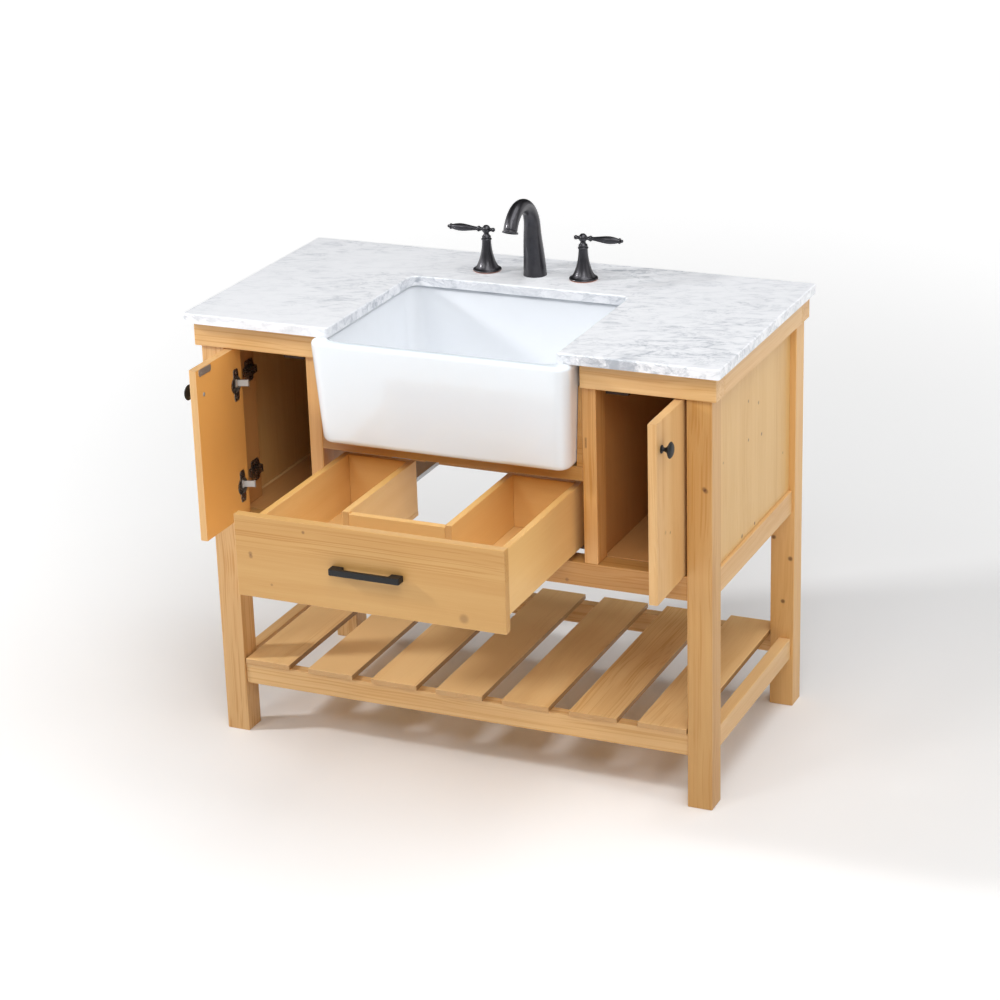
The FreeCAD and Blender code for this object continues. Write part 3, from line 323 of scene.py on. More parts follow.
def bronze():
    """Near-black bronze, with bare copper along the foot of each valve, where it is rubbed."""
    finish = Finish("bronze", metallic=1.0, coat_weight=0.35, coat_roughness=0.16)
    place = finish.place()
    cloud = finish.noise(place, scale=60.0, detail=3.0)
    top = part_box("marble_top")[1].z
    foot = 1.0 - abs(place.part("Z") - top - 0.0008).ease(0.0004, 0.0018)
    rubbed = foot * abs(place.part("X")).ease(0.05, 0.06)
    dark = finish.blend(cloud, colour(58, 57, 61), colour(82, 81, 85))
    finish.set(base_color=finish.blend(rubbed * 0.9, dark, COPPER), roughness=cloud * 0.12 + 0.36)
    return finish.material


def metal(name, first, second, rough, grain, scale, metallic=1.0, coat=0.0, relief=0.0):
    """Metal whose colour and roughness follow one noise, stretched by the grain's three factors."""
    finish = Finish(name, metallic=metallic, coat_weight=coat, coat_roughness=0.2)
    axes = [finish.place().part(letter) for letter in "XYZ"]
    stretched = finish.vector(*(axis * factor for axis, factor in zip(axes, grain)))
    mottle = finish.noise(stretched, scale, detail=3.0)
    finish.set(base_color=finish.blend(mottle, first, second), roughness=mottle * 0.16 + rough)
    if relief:
        finish.bump(mottle, relief)
    return finish.material


MARBLE = marble()
FIRECLAY = fireclay()
BRONZE = bronze()
BLACK = metal("black_iron", colour(18, 18, 19), colour(28, 28, 29), 0.4, EVEN, 900.0, metallic=0.3,
              coat=0.06, relief=0.00006)
GUNMETAL = metal("gunmetal", colour(104, 97, 90), colour(150, 141, 132), 0.2, EVEN, 240.0, metallic=0.9)
STEEL = metal("bright_steel", colour(168, 163, 158), colour(196, 190, 184), 0.3, (1.0, 0.1, 8.0), 300.0,
              metallic=0.75)
ZINC = metal("zinc_steel", colour(176, 178, 180), colour(206, 208, 210), 0.3, (1.0, 0.3, 1.0), 220.0)
BRASS = metal("brass", colour(196, 160, 96), colour(222, 188, 124), 0.26, EVEN, 160.0)
CATCH = metal("catch_brown", colour(44, 28, 17), colour(56, 37, 22), 0.5, EVEN, 400.0, metallic=0.0)


# Meshes

WELD = 1e-6
LEAST_EDGE = 1e-7
BEVEL_STEPS = 3
RECESS_HALF_WIDTH = 0.14
RECESS_REACH = 0.55
RECESS_DEPTH = 0.34


def quads(rows, columns, wrap_rows=False, wrap_columns=False):
    """The four corner numbers of each cell of a grid of points, joined back to the start where it wraps."""
    row = np.arange(rows if wrap_rows else rows - 1)[:, None]
    column = np.arange(columns if wrap_columns else columns - 1)[None, :]
    here = row * columns
    below = (row + 1) % rows * columns
    after = (column + 1) % columns
    cells = (here + column, here + after, below + after, below + column)
    return np.stack(np.broadcast_arrays(*cells), -1).reshape(-1, 4)


def make(name, shells, material, body, hides=(), sharp=35.0, bevel=0.0):
    """One object from shells of points in millimetres and faces.

    It is welded, faces outwards, keeps edges sharper than so many degrees, and may be bevelled.
    """
    points = []
    faces = []
    for shell_points, shell_faces in shells:
        start = sum(len(part) for part in points)
        points.append(np.reshape(shell_points, (-1, 3)))
        faces += [[int(corner) + start for corner in face] for face in shell_faces]
    mesh = bpy.data.meshes.new(name)
    mesh.from_pydata((np.concatenate(points) * MM).tolist(), [], faces)
    work = bmesh.new()
    work.from_mesh(mesh)
    bmesh.ops.remove_doubles(work, verts=work.verts, dist=WELD)
    bmesh.ops.dissolve_degenerate(work, edges=work.edges, dist=LEAST_EDGE)
    bmesh.ops.recalc_face_normals(work, faces=work.faces)
    work.to_mesh(mesh)
    work.free()
    mesh.shade_smooth()
    mesh.set_sharp_from_angle(angle=math.radians(sharp))
    mesh.materials.append(material)
    thing = bpy.data.objects.new(name, mesh)
    bpy.context.scene.collection.objects.link(thing)
    if bevel:
        edge = thing.modifiers.new("bevel", "BEVEL")
        edge.width = bevel * MM
        edge.segments = BEVEL_STEPS
        edge.limit_method = "ANGLE"
        edge.harden_normals = True
    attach(thing, body)
    if hides:
        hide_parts(*hides)


def smooth(at, stations, values):
    """A smooth curve through values at stations: a cubic on each stretch, sloped by the neighbours."""
    stations = np.array(stations, float)
    values = np.array(values, float)
    slopes = np.gradient(values, stations)
    n = np.clip(np.searchsorted(stations, at, side="right") - 1, 0, len(stations) - 2)
    step = stations[n + 1] - stations[n]
    t = np.clip((at - stations[n]) / step, 0.0, 1.0)
    rise = (3 - 2 * t) * t ** 2
    return (values[n] * (1 - rise) + values[n + 1] * rise
            + slopes[n] * step * t * (1 - t) ** 2 - slopes[n + 1] * step * t ** 2 * (1 - t))


def ball(at, centre, radius):
    """The radius of a ball's outline at places along its axis, and zero outside it."""
    return np.sqrt(np.clip(radius ** 2 - (at - centre) ** 2, 0.0, None))


def ring(at, centre, radius, core):
    """The radius of a ring of round section about a core, and zero outside it."""
    section = ball(at, centre, radius)
    return np.where(section > 0.0, core + section, 0.0)


def between(at, low, high, radius):
    """A radius between two places along an axis, and zero outside them."""
    return np.where((at >= low) & (at <= high), radius, 0.0)


def filleted(outline, steps=6):
    """A closed outline of corners (x, y, radius), each rounded by an arc that touches both its sides."""
    spots = np.array([corner[:2] for corner in outline], float)
    rounded = []
    for n, (x, y, radius) in enumerate(outline):
        here = spots[n]
        if radius == 0:
            rounded.append(here[None])
            continue
        to_last = spots[n - 1] - here
        to_next = spots[(n + 1) % len(spots)] - here
        to_last = to_last / np.linalg.norm(to_last)
        to_next = to_next / np.linalg.norm(to_next)
        half = math.acos(np.clip(to_last @ to_next, -1.0, 1.0)) / 2
        reach = radius / math.tan(half)
        middle = to_last + to_next
        centre = here + middle / np.linalg.norm(middle) * radius / math.sin(half)
        first = here + to_last * reach - centre
        last = here + to_next * reach - centre
        swing = math.atan2(first[0] * last[1] - first[1] * last[0], first @ last)
        turn = np.linspace(0.0, swing, steps + 1)
        rounded.append(centre + np.stack([first[0] * np.cos(turn) - first[1] * np.sin(turn),
                                          first[0] * np.sin(turn) + first[1] * np.cos(turn)], -1))
    return np.concatenate(rounded)


def turned(radius, along, centre, axis, steps=48):
    """A profile turned round an axis: each point goes round at its radius, and zero closes an end."""
    axis = np.array(axis, float)
    first = np.cross(axis, (0.0, 1.0, 0.0) if abs(axis[1]) < 0.5 else (0.0, 0.0, 1.0))
    first /= np.linalg.norm(first)
    second = np.cross(axis, first)
    angle = np.linspace(0.0, 2 * np.pi, steps, endpoint=False)
    circle = np.cos(angle)[:, None] * first + np.sin(angle)[:, None] * second
    radius = np.asarray(radius, float)[:, None, None]
    along = np.asarray(along, float)[:, None, None]
    return np.array(centre) + along * axis + radius * circle, quads(len(radius), steps, wrap_columns=True)


def prism(outline, low, high, across=(0, 1), up=2):
    """A flat outline drawn on two of the axes and carried along the third."""
    points = np.zeros((2, len(outline), 3))
    points[:, :, across[0]] = outline[:, 0]
    points[:, :, across[1]] = outline[:, 1]
    points[0, :, up] = low
    points[1, :, up] = high
    count = len(outline)
    faces = quads(2, count, wrap_columns=True).tolist()
    return points, faces + [list(range(count)), list(range(count, 2 * count))]


def screw(centre, axis, radius=3.4, rise=0.42):
    """A domed screw head: its height falls as the square of the distance out, less a cross-shaped recess.

    The rise and the recess are shares of the radius.
    """
    share = np.linspace(0.0, 1.0, 15)
    angle = np.linspace(0.0, 2 * np.pi, 40, endpoint=False)
    axis = np.array(axis, float)
    first = np.cross(axis, (0.0, 0.0, 1.0) if abs(axis[2]) < 0.5 else (1.0, 0.0, 0.0))
    first /= np.linalg.norm(first)
    second = np.cross(axis, first)
    u = share[:, None] * np.cos(angle)
    v = share[:, None] * np.sin(angle)
    near = np.minimum(abs(u), abs(v)) < RECESS_HALF_WIDTH
    recess = near & (np.maximum(abs(u), abs(v)) < RECESS_REACH)
    height = radius * (rise * (1 - share[:, None] ** 2) - RECESS_DEPTH * recess)
    flat = radius * (u[..., None] * first + v[..., None] * second)
    points = np.array(centre) + flat + height[..., None] * axis
    return points, quads(len(share), len(angle), wrap_columns=True)


# Sink and drain

SINK_WALL = 24.0
SINK_FLOOR = 24.0
SINK_DRAFT = np.array([8.0, 18.0, 8.0])
SINK_CORNER = 26.0
BASIN_CORNER = 32.0
LEAST_CORNER = 6.0
BASIN_COVE = 20.0
RIM_RADIUS = 9.0
FOOT_RADIUS = 12.0
SIDE_STEPS = 14
CORNER_STEPS = 10
LOOP = 4 * (CORNER_STEPS + SIDE_STEPS)
FLOOR_SHARES = (0.25, 0.5, 0.75, 0.9, 1.0)
DRAIN_LOW, DRAIN_HIGH = corners("drain_flange")
DRAIN = (DRAIN_LOW + DRAIN_HIGH) / 2
DRAIN_AXIS = (0.0, DRAIN[1], 0.0)
DRAIN_HOLE = 23.0
DRAIN_BODY = 22.0
DRAIN_BORE = 16.5
FLANGE_RADIUS = 31.0
FLANGE_EDGE = 1.5
FLANGE_THICKNESS = 3.0
SEAT_RADIUS = 19.5
SEAT_DEPTH = 5.0
STOPPER_RADIUS = 19.0
STOPPER_DOME = 1.6
STOPPER_EDGE = 4.0
STOPPER_THICKNESS = 5.0
STOPPER_STEM = 4.0


def rounded_loop(half, front, back, corner):
    """Points round a rectangle with quarter-circle corners, as seen from above.

    Along a side the points are spaced as the cosine of an even angle, so they are close near the corners.
    """
    turn = np.linspace(0.0, np.pi / 2, CORNER_STEPS + 1)
    share = (1 - np.cos(np.pi * np.arange(1, SIDE_STEPS) / SIDE_STEPS)) / 2
    middles = np.array([(half - corner, back - corner), (corner - half, back - corner),
                        (corner - half, front + corner), (half - corner, front + corner)])
    arcs = [middle + corner * np.stack([np.cos(turn + n * np.pi / 2), np.sin(turn + n * np.pi / 2)], -1)
            for n, middle in enumerate(middles)]
    loop = []
    for n, arc in enumerate(arcs):
        after = arcs[(n + 1) % 4][0]
        loop += [arc, arc[-1] + (after - arc[-1]) * share[:, None]]
    return np.concatenate(loop)


def level_loop(spots, height):
    """Points seen from above, all put at one height."""
    return np.column_stack([spots, np.full(LOOP, height)])


def apron_sink():
    """A tub: rounded loops stacked up the outside, over the rim, down the inside and in to the drain hole.

    Each loop is drawn in by the walls' lean at its height, and by how far the rounded edges have turned:
    by the sine of a quarter turn one way, and by one less its cosine the other.
    """
    low, high = corners("apron_sink")
    outer = np.array([high[0], low[1], high[1]])
    inward = np.array([-1.0, 1.0, -1.0])
    basin = low[2] + SINK_FLOOR
    turn = np.linspace(0.0, np.pi / 2, 9)
    sine = np.sin(turn)
    rest = 1 - np.cos(turn)
    wall = (1 - np.cos(np.linspace(0.0, np.pi, 15))) / 2

    def loops(heights, insets, wall_inset, foot, corner):
        lean = np.clip((high[2] - heights) / (high[2] - foot), 0.0, 1.0)
        sizes = outer + inward * (SINK_DRAFT * lean[:, None] + wall_inset + insets[:, None])
        return [level_loop(rounded_loop(*size, max(corner - inset, LEAST_CORNER)), height)
                for size, inset, height in zip(sizes, insets, heights)]
    straight = np.zeros(len(wall) - 1)
    foot_high = low[2] + FOOT_RADIUS
    rim_low = high[2] - RIM_RADIUS
    cove_high = basin + BASIN_COVE
    outside = np.concatenate([low[2] + FOOT_RADIUS * rest, foot_high + (rim_low - foot_high) * wall[1:],
                              rim_low + RIM_RADIUS * sine[1:]])
    outside_inset = np.concatenate([FOOT_RADIUS * (1 - sine), straight, RIM_RADIUS * rest[1:]])
    inside = np.concatenate([rim_low + RIM_RADIUS * sine[::-1], rim_low + (cove_high - rim_low) * wall[1:],
                             cove_high - BASIN_COVE * sine[1:]])
    inside_inset = np.concatenate([-RIM_RADIUS * rest[::-1], straight, BASIN_COVE * rest[1:]])
    rows = loops(outside, outside_inset, 0.0, low[2], SINK_CORNER)
    rows += loops(inside, inside_inset, SINK_WALL, basin, BASIN_CORNER)
    floor = rows[-1][:, :2]
    spokes = floor - DRAIN[:2]
    hole = DRAIN[:2] + DRAIN_HOLE * spokes / np.linalg.norm(spokes, axis=1)[:, None]
    rows += [level_loop(floor * (1 - share) + hole * share, basin) for share in FLOOR_SHARES]
    rows.append(level_loop(hole, low[2]))
    tub = (np.stack(rows), quads(len(rows), LOOP, wrap_rows=True, wrap_columns=True))
    make("sink_tub", [tub], FIRECLAY, "stand", ["apron_sink"])


def drain():
    """A flange with a rounded lip and a dished seat, and a domed stopper on its stem, all turned shapes."""
    lip = DRAIN_HIGH[2]
    foot = DRAIN_LOW[2]
    seat = lip - SEAT_DEPTH
    turn = np.linspace(0.0, np.pi, 13)
    radius = np.concatenate([
        [SEAT_RADIUS, SEAT_RADIUS, SEAT_RADIUS + 1.0],
        FLANGE_RADIUS - FLANGE_EDGE + FLANGE_EDGE * np.sin(turn),
        [DRAIN_BODY, DRAIN_BODY, DRAIN_BORE, DRAIN_BORE, SEAT_RADIUS]])
    height = np.concatenate([
        [seat, lip - 1.0, lip - 0.2],
        lip - FLANGE_EDGE + FLANGE_EDGE * np.cos(turn),
        [lip - FLANGE_THICKNESS, foot, foot, seat, seat]])
    make("drain_ring", [turned(radius, height, DRAIN_AXIS, UP, 72)], BRONZE, "stand",
         ["drain_flange"])
    low, high = (corner[2] for corner in corners("drain_stopper"))
    out = np.linspace(0.0, 1.0, 16)
    radius = np.concatenate([STOPPER_RADIUS * out, [STOPPER_RADIUS, STOPPER_STEM, STOPPER_STEM, 0.0]])
    height = np.concatenate([high - STOPPER_DOME * out ** 2,
                             [high - STOPPER_EDGE, high - STOPPER_THICKNESS, low, low]])
    make("stopper_cap", [turned(radius, height, DRAIN_AXIS, UP, 64)], BRONZE, "drain_stopper",
         ["drain_stopper"])


# Tap

TOP = corners("marble_top")[1][2]
HOT = PIVOTS["hot_handle_turn"]
COLD = PIVOTS["cold_handle_turn"]
TAP_Y = HOT[1]
SHANK = 14.0
INLET = 10.3
INLET_LENGTH = 24.0
INLET_PITCH = 1.8
SPOUT_LEAN = 9.0
SPOUT_COLUMN = 98.0
SPOUT_BEND = 54.0
SPOUT_TURN = 158.0
SPOUT_LENGTHS = (0.0, 50.0, 98.0, 172.0, 210.0, 247.0)
SPOUT_RADII = (23.0, 20.0, 16.5, 13.3, 13.3, 13.5)
OUTLET_RING = 15.5
BELL_HEIGHTS = (5.0, 9.0, 15.0, 24.0, 36.0, 50.0, 62.0)
BELL_RADII = (24.5, 21.4, 18.2, 14.8, 11.7, 9.6, 8.8)
BELL_FOOT = 25.5
BELL_FOOT_EDGE = 2.5
COLLAR_HEIGHT = 63.0
VALVE_TOP = TOP + 66.0
HUB = VALVE_TOP + 16.4
THROAT_BASE = VALVE_TOP + 0.4
THROAT_HEIGHTS = (0.0, 2.0, 5.0, 9.0, 13.0)
THROAT_RADII = (8.8, 8.9, 6.4, 5.0, 5.4)
STEM = 4.0
STEM_LENGTH = 18.0
LEVER_PLACES = (15.0, 22.0, 34.0, 48.0, 56.0, 66.0, 74.0, 78.0)
LEVER_RADII = (3.4, 3.8, 5.4, 7.3, 7.5, 6.2, 4.4, 4.0)


def thread(low, high, radius, pitch=2.0, depth=0.7):
    """Radius and height of a threaded stretch: the radius dips by a wave along the height."""
    height = np.linspace(low, high, int((high - low) / pitch * 8))
    wave = 0.5 - 0.5 * np.cos(2 * np.pi * (height - low) / pitch)
    return radius - depth * wave, height


def spout():
    """A round tube on a centre line that leans forward by a smooth step, then turns over in one arc.

    The radius is a smooth curve of the length. At the outlet come a groove, a ring and a recessed strainer.
    """
    rise = np.linspace(0.0, 1.0, 40)
    turn = np.radians(np.linspace(0.0, SPOUT_TURN, 64))[1:]
    bend_y = TAP_Y - SPOUT_LEAN - SPOUT_BEND
    bend_z = TOP + SPOUT_COLUMN
    line = np.concatenate([
        np.stack([TAP_Y - SPOUT_LEAN * (3 - 2 * rise) * rise ** 2, TOP + SPOUT_COLUMN * rise], -1),
        np.stack([bend_y + SPOUT_BEND * np.cos(turn), bend_z + SPOUT_BEND * np.sin(turn)], -1)])
    ahead = np.gradient(line, axis=0)
    ahead /= np.linalg.norm(ahead, axis=1)[:, None]
    length = np.concatenate([[0.0], np.cumsum(np.linalg.norm(np.diff(line, axis=0), axis=1))])
    radius = smooth(length, SPOUT_LENGTHS, SPOUT_RADII)
    edge = np.linspace(0.0, np.pi / 2, 7)
    tail = np.concatenate([[0.4, 0.8, 1.8, 2.2], 2.2 + np.sin(edge), 5.0 + np.sin(edge),
                           [6.0, 5.6, 2.0, 2.0]])
    tail_radius = np.concatenate([[13.3, 12.4, 12.4, 14.0], OUTLET_RING - np.cos(edge),
                                  OUTLET_RING - 1.0 + np.cos(edge), [12.6, 11.8, 11.6, 0.0]])
    last = ahead[-1]
    line = np.concatenate([line[:1], line, line[-1] + tail[:, None] * last])
    ahead = np.concatenate([ahead[:1], ahead, np.repeat(last[None], len(tail), axis=0)])
    radius = np.concatenate([[0.0], radius, tail_radius])[:, None]
    angle = np.linspace(0.0, 2 * np.pi, 64, endpoint=False)
    points = np.zeros((len(line), len(angle), 3))
    points[:, :, 0] = radius * np.cos(angle)
    points[:, :, 1] = line[:, :1] + radius * np.sin(angle) * ahead[:, 1:]
    points[:, :, 2] = line[:, 1:] - radius * np.sin(angle) * ahead[:, :1]
    tube = (points, quads(len(line), len(angle), wrap_columns=True))
    low = corners("spout")[0][2]
    shank_radius, shank_height = thread(low, TOP, SHANK)
    shank = turned(np.concatenate([[0.0], shank_radius, [0.0]]),
                   np.concatenate([[low], shank_height, [TOP]]), (0.0, TAP_Y, 0.0), UP)
    make("spout_tube", [tube, shank], BRONZE, "stand", ["spout"])


def valve(side, pivot):
    """A bell turned from a smooth concave curve, with a rounded foot and a collar, on a threaded shank."""
    low = corners(side + "_valve")[0][2]
    height = np.linspace(6.5, 61.0, 60)
    bell = smooth(height, BELL_HEIGHTS, BELL_RADII)
    edge = np.linspace(-np.pi / 2, np.pi / 2, 13)
    bead = np.linspace(-np.pi / 2, np.pi / 2, 9)
    inlet_radius, inlet_height = thread(low, low + INLET_LENGTH, INLET, pitch=INLET_PITCH)
    shank_radius, shank_height = thread(low + INLET_LENGTH, TOP, SHANK)
    radius = np.concatenate([
        [0.0], inlet_radius, shank_radius,
        [BELL_FOOT], BELL_FOOT + BELL_FOOT_EDGE * np.cos(edge), [24.2], bell,
        9.0 + 1.4 * np.cos(bead), [8.6, 8.6, 0.0]])
    along = np.concatenate([
        [low], inlet_height, shank_height,
        [TOP], TOP + BELL_FOOT_EDGE + BELL_FOOT_EDGE * np.sin(edge), [TOP + 5.6], TOP + height,
        TOP + COLLAR_HEIGHT + 1.8 * np.sin(bead), [TOP + 65.2, VALVE_TOP, VALVE_TOP]])
    make(side + "_bell", [turned(radius, along, (pivot[0], TAP_Y, 0.0), UP, 72)], BRONZE, "stand",
         [side + "_valve"])


def handle(side, pivot):
    """A lever and stub, the largest of several shapes turned on one level axis, on a turned throat."""
    at = np.arange(-18.8, 83.01, 0.25)
    swell = np.where((at > 17.0) & (at < 74.5), smooth(at, LEVER_PLACES, LEVER_RADII), 0.0)
    stub = [ball(at, -14.5, 4.3), between(at, -14.5, 0.0, 2.7), ball(at, -9.2, 3.6)]
    neck = [ball(at, 0.0, 8.5), between(at, 0.0, 18.0, 3.4), ring(at, 13.2, 1.7, 2.9),
            ring(at, 16.0, 2.6, 3.2)]
    tip = [ring(at, 75.5, 2.2, 3.6), between(at, 74.0, 80.0, 2.3), ball(at, 79.8, 3.2)]
    radius = np.max(stub + neck + [swell] + tip, axis=0)
    radius[[0, -1]] = 0.0
    outward = (1.0 if pivot[0] > 0 else -1.0, 0.0, 0.0)
    lever = turned(radius, at, (pivot[0], TAP_Y, HUB), outward, 40)
    axis = (pivot[0], TAP_Y, 0.0)
    rise = np.linspace(0.0, THROAT_HEIGHTS[-1], 27)
    throat = smooth(rise, THROAT_HEIGHTS, THROAT_RADII)
    foot = THROAT_BASE - STEM_LENGTH
    stem = turned(np.concatenate([[0.0, STEM, STEM], throat, [0.0]]),
                  np.concatenate([[foot, foot, THROAT_BASE], THROAT_BASE + rise, [THROAT_BASE + rise[-1]]]),
                  axis, UP)
    dome = np.linspace(0.0, 1.0, 9)
    cap = turned(np.concatenate([[4.6, 4.6], 4.4 * np.sqrt(1 - dome ** 2)]),
                 np.concatenate([[HUB + 6.0, HUB + 7.6], HUB + 7.6 + 0.85 * dome]), axis, UP)
    make(side + "_lever", [lever, stem, cap], BRONZE, side + "_handle", [side + "_handle"])


# Doors, knobs and hinges, drawn on the shut right door and swung open with it

OPEN = {"right": 91.0, "left": -90.0}
DOOR_THICKNESS = 16.0
DOOR_WIDTH = 167.5
PIN = PIVOTS["right_door_hinge"]
PIN_DEPTH = 10.0
PIN_EDGE = 12.0
PIN_RADIUS = 1.5
PIN_HALF = 10.0
DOOR_FACE = PIN[1] - PIN_DEPTH
DOOR_BACK = DOOR_FACE + DOOR_THICKNESS
DOOR_HINGE_X = PIN[0] + PIN_EDGE
DOOR_FREE_X = DOOR_HINGE_X - DOOR_WIDTH
DOOR_LOW, DOOR_HIGH = (corner[2] for corner in corners("right_door"))
KNOB_INSET = 25.0
KNOB_DROP = 52.0
KNOB_SCREW = 4.2
NECK_PLACES = (2.5, 5.0, 8.0, 11.0, 13.5, 15.2)
NECK_RADII = (4.4, 3.8, 4.2, 6.6, 10.6, 14.2)
STRIKE_INSET = 10.0
STRIKE_DROP = 1.0
STRIKE_LENGTH = 44.0
STRIKE_HEIGHT = 13.0
STRIKE_CORNER = 4.0
STRIKE_SHEET = 1.5
STRIKE_SCREWS = (9.0, 35.0)
HINGE_HEIGHTS = (DOOR_LOW + 60.0, DOOR_HIGH - 72.0)
HINGE_SCREW = 3.6
CUP_X = DOOR_HINGE_X - 23.0
CUP_HOLE = 15.0
CUP_RIM = 17.4
CUP_BAR = (9.5, 32.0)
CUP_BAR_POWER = 6.0
CUP_SCREW_REACH = 25.0
LEG_IN = corners("leg_front_right")[0][0]
PLATE_FRONT = DOOR_FACE + 62.0
PLATE_BACK = PLATE_FRONT + 42.0
PLATE_SHEET = 2.0
PLATE_SCREW = 3.8
PLATE_SCREW_REACH = 15.0
BLOCK_HALF = 8.0
ARM_SCREWS = (12.0, 32.0)
ARM_HALF_WIDTH = 7.5
LINK_HALF_WIDTH = 6.3
ARM_HALF_SHEET = 1.25
ARM_X = LEG_IN - 8.25
ARM_PATH = np.array([(PIN[0], PIN[1]), (PIN[0] - 22.55, PIN[1] + 8.2), (ARM_X, PLATE_FRONT),
                     (ARM_X, PLATE_BACK)])
EYE_RADIUS = 3.0
EYE_BORE = 1.6


def swung(shells, side):
    """Shells on the shut right door, mirrored for the left one, then turned about the hinge pin."""
    angle = math.radians(OPEN[side])
    cosine, sine = math.cos(angle), math.sin(angle)
    mirror = np.array([1.0 if side == "right" else -1.0, 1.0, 1.0])
    pin = PIN * mirror
    moved = []
    for points, faces in shells:
        reach = np.reshape(points, (-1, 3)) * mirror - pin
        x = reach[:, 0] * cosine - reach[:, 1] * sine
        y = reach[:, 0] * sine + reach[:, 1] * cosine
        moved.append((np.stack([x, y, reach[:, 2]], -1) + pin, faces))
    return moved


def mirrored(shells):
    """Shells of the right side, moved to the left side."""
    return [(np.reshape(points, (-1, 3)) * (-1.0, 1.0, 1.0), faces) for points, faces in shells]


def knob(side):
    """A mushroom knob turned from one smooth curve: rose, waisted neck, flared head and domed crown."""
    x = DOOR_FREE_X + KNOB_INSET
    z = DOOR_HIGH - KNOB_DROP
    rose = [0.0, 7.5, 7.5, 6.9, 4.6]
    rose_at = [0.0, 0.0, 1.6, 2.2, 2.5]
    neck_at = np.linspace(3.0, 15.0, 22)
    neck = smooth(neck_at, NECK_PLACES, NECK_RADII)
    lip = np.linspace(-0.5, np.pi / 2 - 0.35, 10)
    crown = np.linspace(0.15, 1.0, 16)
    radius = np.concatenate([rose, neck, 13.4 + 1.6 * np.cos(lip), 13.8 * np.sqrt(1 - crown ** 2)])
    at = np.concatenate([rose_at, neck_at, 16.6 + 1.6 * np.sin(lip), 17.4 + 4.6 * crown])
    head = turned(radius, at, (x, DOOR_FACE, z), (0, -1, 0), 56)
    back = screw((x, DOOR_BACK, z), (0, 1, 0), KNOB_SCREW)
    make(side + "_knob_head", swung([head], side), BLACK, side + "_door", [side + "_knob"])
    make(side + "_knob_screw", swung([back], side), STEEL, side + "_door")


def strike(side):
    """A steel plate with rounded corners and two nearly flat screws."""
    x = DOOR_FREE_X + STRIKE_INSET
    z = DOOR_HIGH - STRIKE_DROP
    end = x + STRIKE_LENGTH
    foot = z - STRIKE_HEIGHT
    outline = [(*spot, STRIKE_CORNER) for spot in ((x, foot), (end, foot), (end, z), (x, z))]
    plate = prism(filleted(outline), DOOR_BACK, DOOR_BACK + STRIKE_SHEET, across=(0, 2), up=1)
    middle = z - STRIKE_HEIGHT / 2
    heads = [screw((x + along, DOOR_BACK + STRIKE_SHEET - 0.1, middle), (0, 1, 0), radius=3.2, rise=0.12)
             for along in STRIKE_SCREWS]
    make(side + "_strike_plate", swung([plate] + heads, side), STEEL, side + "_door",
         [side + "_strike"])


def hinge_cup(side):
    """A dished cup in a flange, with two screws and the pin.

    The flange's rim is the larger of a circle and a bar, which is an oval of a high power.
    """
    shells = []
    angle = np.linspace(0.0, 2 * np.pi, 96, endpoint=False)
    cosine, sine = np.cos(angle), np.sin(angle)
    oval = (abs(cosine) / CUP_BAR[0]) ** CUP_BAR_POWER + (abs(sine) / CUP_BAR[1]) ** CUP_BAR_POWER
    rim = np.maximum(oval ** (-1 / CUP_BAR_POWER), CUP_RIM)
    hole = np.full_like(angle, CUP_HOLE)
    rings = [(rim, 0.0), (rim, 1.0), (rim - 0.5, 1.4), (hole + 0.8, 1.4), (hole, 0.8), (hole - 0.6, -7.0),
             (hole - 3.0, -9.0), (hole * 0.0, -9.0)]
    for height in HINGE_HEIGHTS:
        points = np.stack([np.stack([CUP_X + out * cosine, np.full_like(angle, DOOR_BACK + level),
                                     height + out * sine], -1) for out, level in rings])
        shells.append((points, quads(len(rings), len(angle), wrap_columns=True)))
        shells += [screw((CUP_X, DOOR_BACK + 1.2, height + end), (0, 1, 0), HINGE_SCREW)
                   for end in (-CUP_SCREW_REACH, CUP_SCREW_REACH)]
        shells.append(turned([0.0, PIN_RADIUS, PIN_RADIUS, 0.0], [-PIN_HALF, -PIN_HALF, PIN_HALF, PIN_HALF],
                             (PIN[0], PIN[1], height), UP, 16))
    make(side + "_cups", swung(shells, side), GUNMETAL, side + "_door", [side + "_hinge_cups"])


def strip_outline(path):
    """The outline of a bent strip: its centre line moved to each side, with mitred and rounded corners."""
    ahead = np.diff(path, axis=0)
    ahead /= np.linalg.norm(ahead, axis=1)[:, None]
    left = np.stack([-ahead[:, 1], ahead[:, 0]], -1)
    bends = (left[:-1] + left[1:]) / (1 + np.sum(left[:-1] * left[1:], axis=1))[:, None]
    mitre = np.concatenate([left[:1], bends, left[-1:]])
    there = path + mitre * ARM_HALF_SHEET
    back = (path - mitre * ARM_HALF_SHEET)[::-1]
    radii = [0.0] + [2.5] * (len(path) - 2) + [1.0]
    return filleted([(*spot, radius) for spot, radius in zip(there, radii)]
                    + [(*spot, radius) for spot, radius in zip(back, radii[::-1])])


